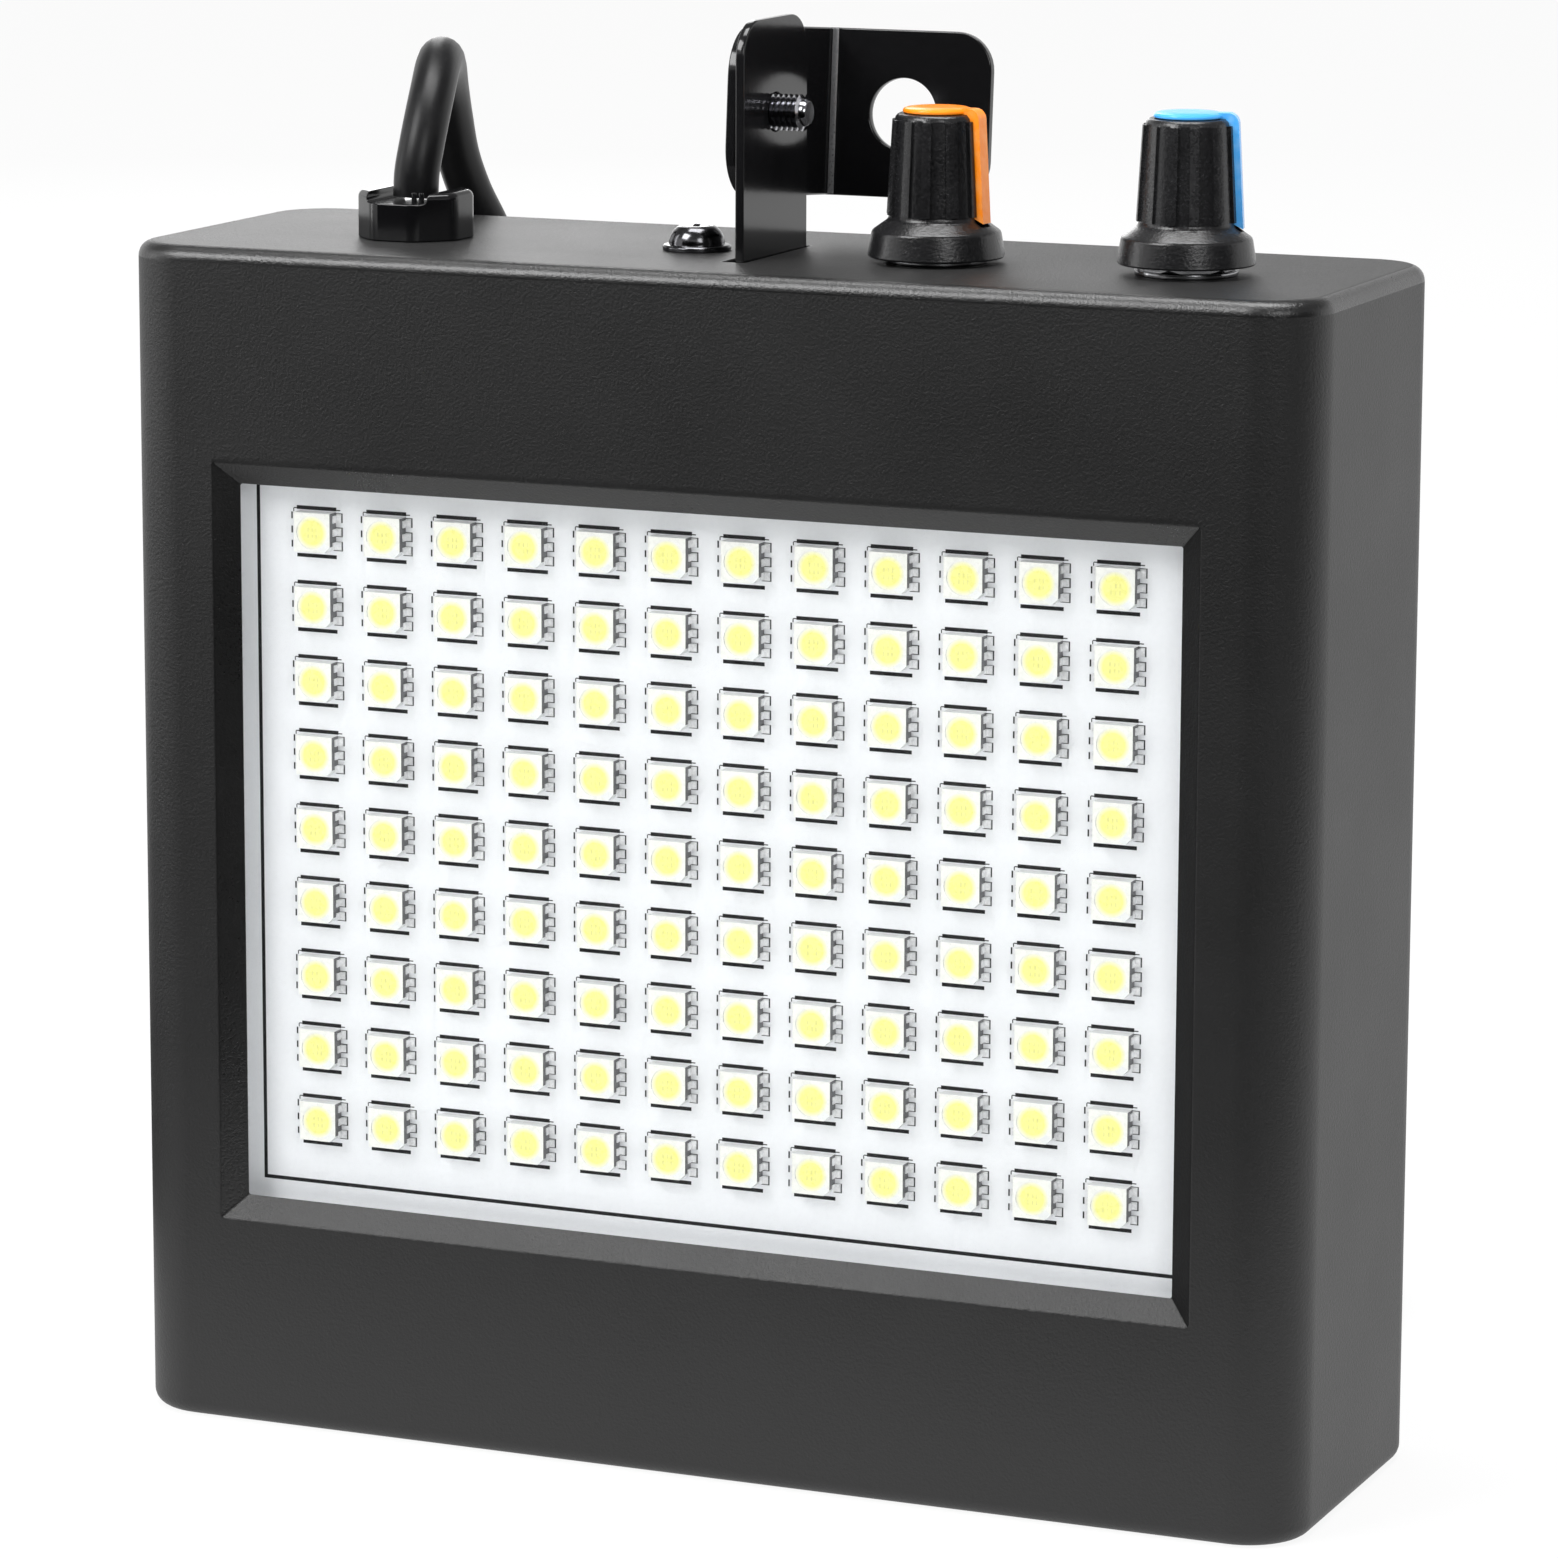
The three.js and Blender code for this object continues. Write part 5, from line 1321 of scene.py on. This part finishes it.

# %% [markdown]
# ## The mounting ear and the swivel bracket
#
# Both are bent from flat steel strip and painted gloss black. The ear stands in a slot, and its foot is
# held under the top. The bracket turns beside it on the pivot screw. The ear's foot is an extrusion, and
# the bracket's bend is a spin of the strip's end round the bend's centre, which is what a press does. The
# hollow of the bend gets a lighter, half-metallic grey: a painted highlight.

# %% Mounting ear
PIVOT_Z = 150.1
EAR_TOP = 160.4
FOOT_TOP = 132.45
ear = block("steel_ear", at(0.2, -11.1, FOOT_TOP - 1), at(1.2, 6.9, EAR_TOP))
round_along(ear, (1, 0, 0), 4.2, 12, lambda middle: middle.z > PIVOT_Z * MM)
divide(ear, at(0, 0, FOOT_TOP), (0, 0, 1))
faces_towards(ear, (-1, 0, 0), lambda middle: middle.z < FOOT_TOP * MM)
extrude((-13 * MM, 0, 0))
combine(ear, [
    rod("foot_hole", 2.05, (EAR_SCREW_X, LINE_Y, 130), (EAR_SCREW_X, LINE_Y, 134), 32),
    rod("pivot_hole", 2.1, (-1, LINE_Y, PIVOT_Z), (3, LINE_Y, PIVOT_Z), 32),
])
soften(ear, 0.2, 3)
complete(ear, "housing", "black_paint", "mounting_ear")

# %% Swivel bracket
BRACKET_RISE = 9.35
BEND_X, BEND_Y = 0.9, 18.4
PLATE_LENGTH = 17.9
REST_TILT = math.radians(-4.6)
bracket = block("steel_bracket", at(-1.3, -8, -BRACKET_RISE), at(-0.1, BEND_Y, BRACKET_RISE))
faces_towards(bracket, (0, 1, 0))
bpy.ops.mesh.spin(steps=10, angle=QUARTER, center=at(BEND_X, BEND_Y, 0), axis=(0, 0, 1))
extrude((PLATE_LENGTH * MM, 0, 0))
close_up(bracket)
round_along(bracket, (1, 0, 0), 5.6, 12, lambda middle: middle.y < -7.9 * MM)
round_along(bracket, (0, 1, 0), 4.3, 10, lambda middle: middle.x > (BEND_X + PLATE_LENGTH - 0.1) * MM)
combine(bracket, [
    rod("pivot_hole", 2.3, (-3, 0, 0), (1, 0, 0), 32),
    rod("mount_hole", 4, (8.4, 17, 0), (8.4, 23, 0), 56),
])
soften(bracket, 0.2, 3)
put(bracket, at(0, LINE_Y, PIVOT_Z), (REST_TILT, 0, 0))
complete(bracket, "swivel_bracket", "black_paint", "swivel_bracket")


def in_the_bend(face):
    """1 on the hollow side of the bend, which gets the painted highlight, and 0 elsewhere."""
    middle = face.center / MM
    facing_in = 0.4 < face.normal.x < 0.96 and face.normal.y < -0.2
    return int(facing_in and middle.x < BEND_X and middle.y > 15)


paint(bracket, [FINISHES["black_paint"], FINISHES["bend_painted_highlight"]], in_the_bend)
print("faces in the bend:", sum(face.material_index for face in bracket.data.polygons))

# %% Pivot screw and ear screw
PIVOT_SCREW = [(1.25, -6.8), (1.5, -6.4), (1.5, 0), (3.3, 0), (3.3, 0.5), (3.1, 1.05), (2.6, 1.5), (1.9, 1.8)]
EAR_SCREW = [
    (1.3, -8), (1.6, -7.6), (1.6, 0), (3.8, 0), (3.8, 0.42), (3.62, 0.6), (3.1, 0.62), (3.1, 0.9),
    (2.98, 1.5), (2.65, 2.1), (2.2, 2.5), (1.86, 2.7),
]
pivot = screw("pivot_bolt", PIVOT_SCREW, (1.8, 1.7, 0.8, 0.9), (1.5, 2.03, 0.62, -6.7, -0.1))
put(pivot, at(-1.6, LINE_Y, PIVOT_Z), (0, -QUARTER, 0))
complete(pivot, "housing", "black_screw", "pivot_screw", finish=FINISHES["bright_thread"])
ear_fixing = screw("dome_screw", EAR_SCREW, (2.7, 1.8, 0.8, 1.7), (1.6, 1.95, 0.7, -7.8, -0.1))
put(ear_fixing, at(EAR_SCREW_X, LINE_Y, TOP + 0.05), (0, 0, 0.35))
complete(ear_fixing, "housing", "black_screw", "ear_screw")

# %% [markdown]
# ## The two controls
#
# Each control is a potentiometer under the top, held by a washer and a nut, with a ridged black knob on
# its shaft. A coloured cap fills the knob's top and reaches down its side as a pointer. Both knobs are
# alike, so each piece is modelled once on the axis and copied.

# %% Washer and nut
BORE = 3.6
washer = turned("washer", [(5.6, 0), (5.6, 0.5)], 64)
combine(washer, rod("bore", BORE, (0, 0, -1), (0, 0, 1), 48))
soften(washer, 0.1)
nut = rod("nut", 5.774, (0, 0, 0), (0, 0, 2), 6)
dome = turned("dome", [(5.25, -0.01), (5.8, 0.45), (5.8, 1.55), (5.25, 2.01)], 48)
combine(nut, dome, "INTERSECT")
combine(nut, rod("bore", BORE, (0, 0, -1), (0, 0, 3), 48))
print("nut:", len(nut.data.polygons), "faces")

# %% Knob
KNOB_SIDES = 96
RIDGES = 12
RIDGE_SIDES = 3
GRIP_LOW, GRIP_TOP = 4.6, 14.9
SEAT_HALF = 1.05
KNOB_RINGS = [
    (7.3, 0), (7.5, 0.2), (7.1, 2.6), (7.0, 2.85), (6.85, 3.0), (5.5, 3.95), (5.28, 4.2), (5.17, GRIP_LOW),
    (4.6, GRIP_TOP), (4.52, 15.25), (4.3, 15.5), (4.1, 15.6),
]
knob = turned("knob", KNOB_RINGS, KNOB_SIDES)


def on_ridge(face):
    """Whether a face of the knob's side lies on one of its upright ridges."""
    middle = face.calc_center_median()
    turn = math.degrees(math.atan2(middle.y, middle.x)) % (360 / RIDGES)
    upright = GRIP_LOW * MM < middle.z < GRIP_TOP * MM and abs(face.normal.z) < 0.5
    return upright and abs(turn - 180 / RIDGES) < 180 / KNOB_SIDES * RIDGE_SIDES


choose(knob, "FACE", on_ridge)
bpy.ops.mesh.extrude_region_shrink_fatten(TRANSFORM_OT_shrink_fatten={"value": 0.32 * MM})
combine(knob, [
    rod("recess", 6.2, (0, 0, -1), (0, 0, 3), 64),
    rod("bore", 3.1, (0, 0, 2), (0, 0, 13.3), 40),
    block("pointer_seat", at(3.95, -SEAT_HALF, 3.5), at(9, SEAT_HALF, 17)),
    block("bridge_seat", at(0, -SEAT_HALF, 15.5), at(9, SEAT_HALF, 17)),
])
soften(knob, 0.1, angle=38)
print("knob:", len(knob.data.polygons), "faces")

# %% Cap with its pointer
CAP_RINGS = [(3.6, 15.64), (3.75, 15.75), (3.75, 15.95), (3.62, 16.15), (3.25, 16.27), (1.9, 16.35)]
POINTER_HALF, POINTER_INNER, POINTER_OUTER = 0.95, 4.05, 5.4
POINTER_LOW, POINTER_TOP, POINTER_DROP = 15.62, 16.26, 11.02
cap_disc = turned("cap_disc", CAP_RINGS, 64)
pointer = block("pointer", at(0, -POINTER_HALF, POINTER_LOW), at(POINTER_OUTER, POINTER_HALF, POINTER_TOP))
divide(pointer, at(POINTER_INNER, 0, 0), (1, 0, 0))
faces_towards(pointer, (0, 0, -1), lambda middle: middle.x > POINTER_INNER * MM)
extrude((0, 0, -POINTER_DROP * MM))


def leftover(edge):
    """The flat edges that the extrusion leaves on the pointer's sides and outside."""
    low_there = all(
        abs(v.co.z - POINTER_LOW * MM) < HAIR and v.co.x > (POINTER_INNER - 0.01) * MM for v in edge.verts
    )
    return low_there and edge.calc_face_angle(0) < 0.01


choose(pointer, "EDGE", leftover)
bpy.ops.mesh.dissolve_edges()
for side, way in ((-1, (0.6, 0, 0)), (1, (0.7, 0, -0.7))):
    choose(pointer, "VERT", lambda vertex: vertex.co.z < 5 * MM and (vertex.co.x - 5 * MM) * side > 0)
    bpy.ops.transform.translate(value=at(*way))
round_along(pointer, (0, 1, 0), 1.1, 6, lambda middle: middle.x > 5.3 * MM and middle.z > 16 * MM)
cap = soften(combine(cap_disc, pointer, "UNION"), 0.2, 3)
print("cap:", len(cap.data.polygons), "faces")

# %% Both controls in place
CONTROLS = (("speed", "orange_cap", SPEED_X, 0.6, -5), ("sound", "blue_cap", SOUND_X, 1.15, 14))
# The washers and nuts take the darker copy of the zinc: painted shade under the knobs.
for name, cap_finish, x, lift, turn in CONTROLS:
    knob_body = f"{name}_knob"
    for pattern, label, body, slot, node, rise, spin, finish in (
        (washer, "washer", "housing", "zinc_steel", "pot_washer", 0.05, 0, "zinc_painted_shade"),
        (nut, "nut", "housing", "zinc_steel", "pot_nut", 0.6, 0, "zinc_painted_shade"),
        (knob, "grip", knob_body, "knob_plastic", "knob", lift, turn, "knob_plastic"),
        (cap, "cap", knob_body, cap_finish, "knob_cap", lift, turn, cap_finish),
    ):
        piece = copy_of(pattern, f"{name}_{label}")
        put(piece, at(x, LINE_Y, TOP) + at(0, 0, rise), (0, 0, math.radians(spin)))
        complete(piece, body, slot, f"{name}_{node}", finish=FINISHES[finish])
for pattern in (washer, nut, knob, cap):
    bpy.data.objects.remove(pattern)
print("controls:", [control[0] for control in CONTROLS])

# %% [markdown]
# ## Finishes for the pieces that stay as constructed
#
# The window sheet, the foam frame, the boards and the parts on the driver board already have their real
# shape in the construction model. They keep it, and get the finish of their slot.

# %% Give every constructed node its finish
finished = 0
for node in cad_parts.values():
    for holder in node.material_slots:
        label = holder.name.split(".")[0]
        if label in FINISHES:
            holder.material = FINISHES[label]
            finished += 1
print("constructed nodes with finishes:", finished)
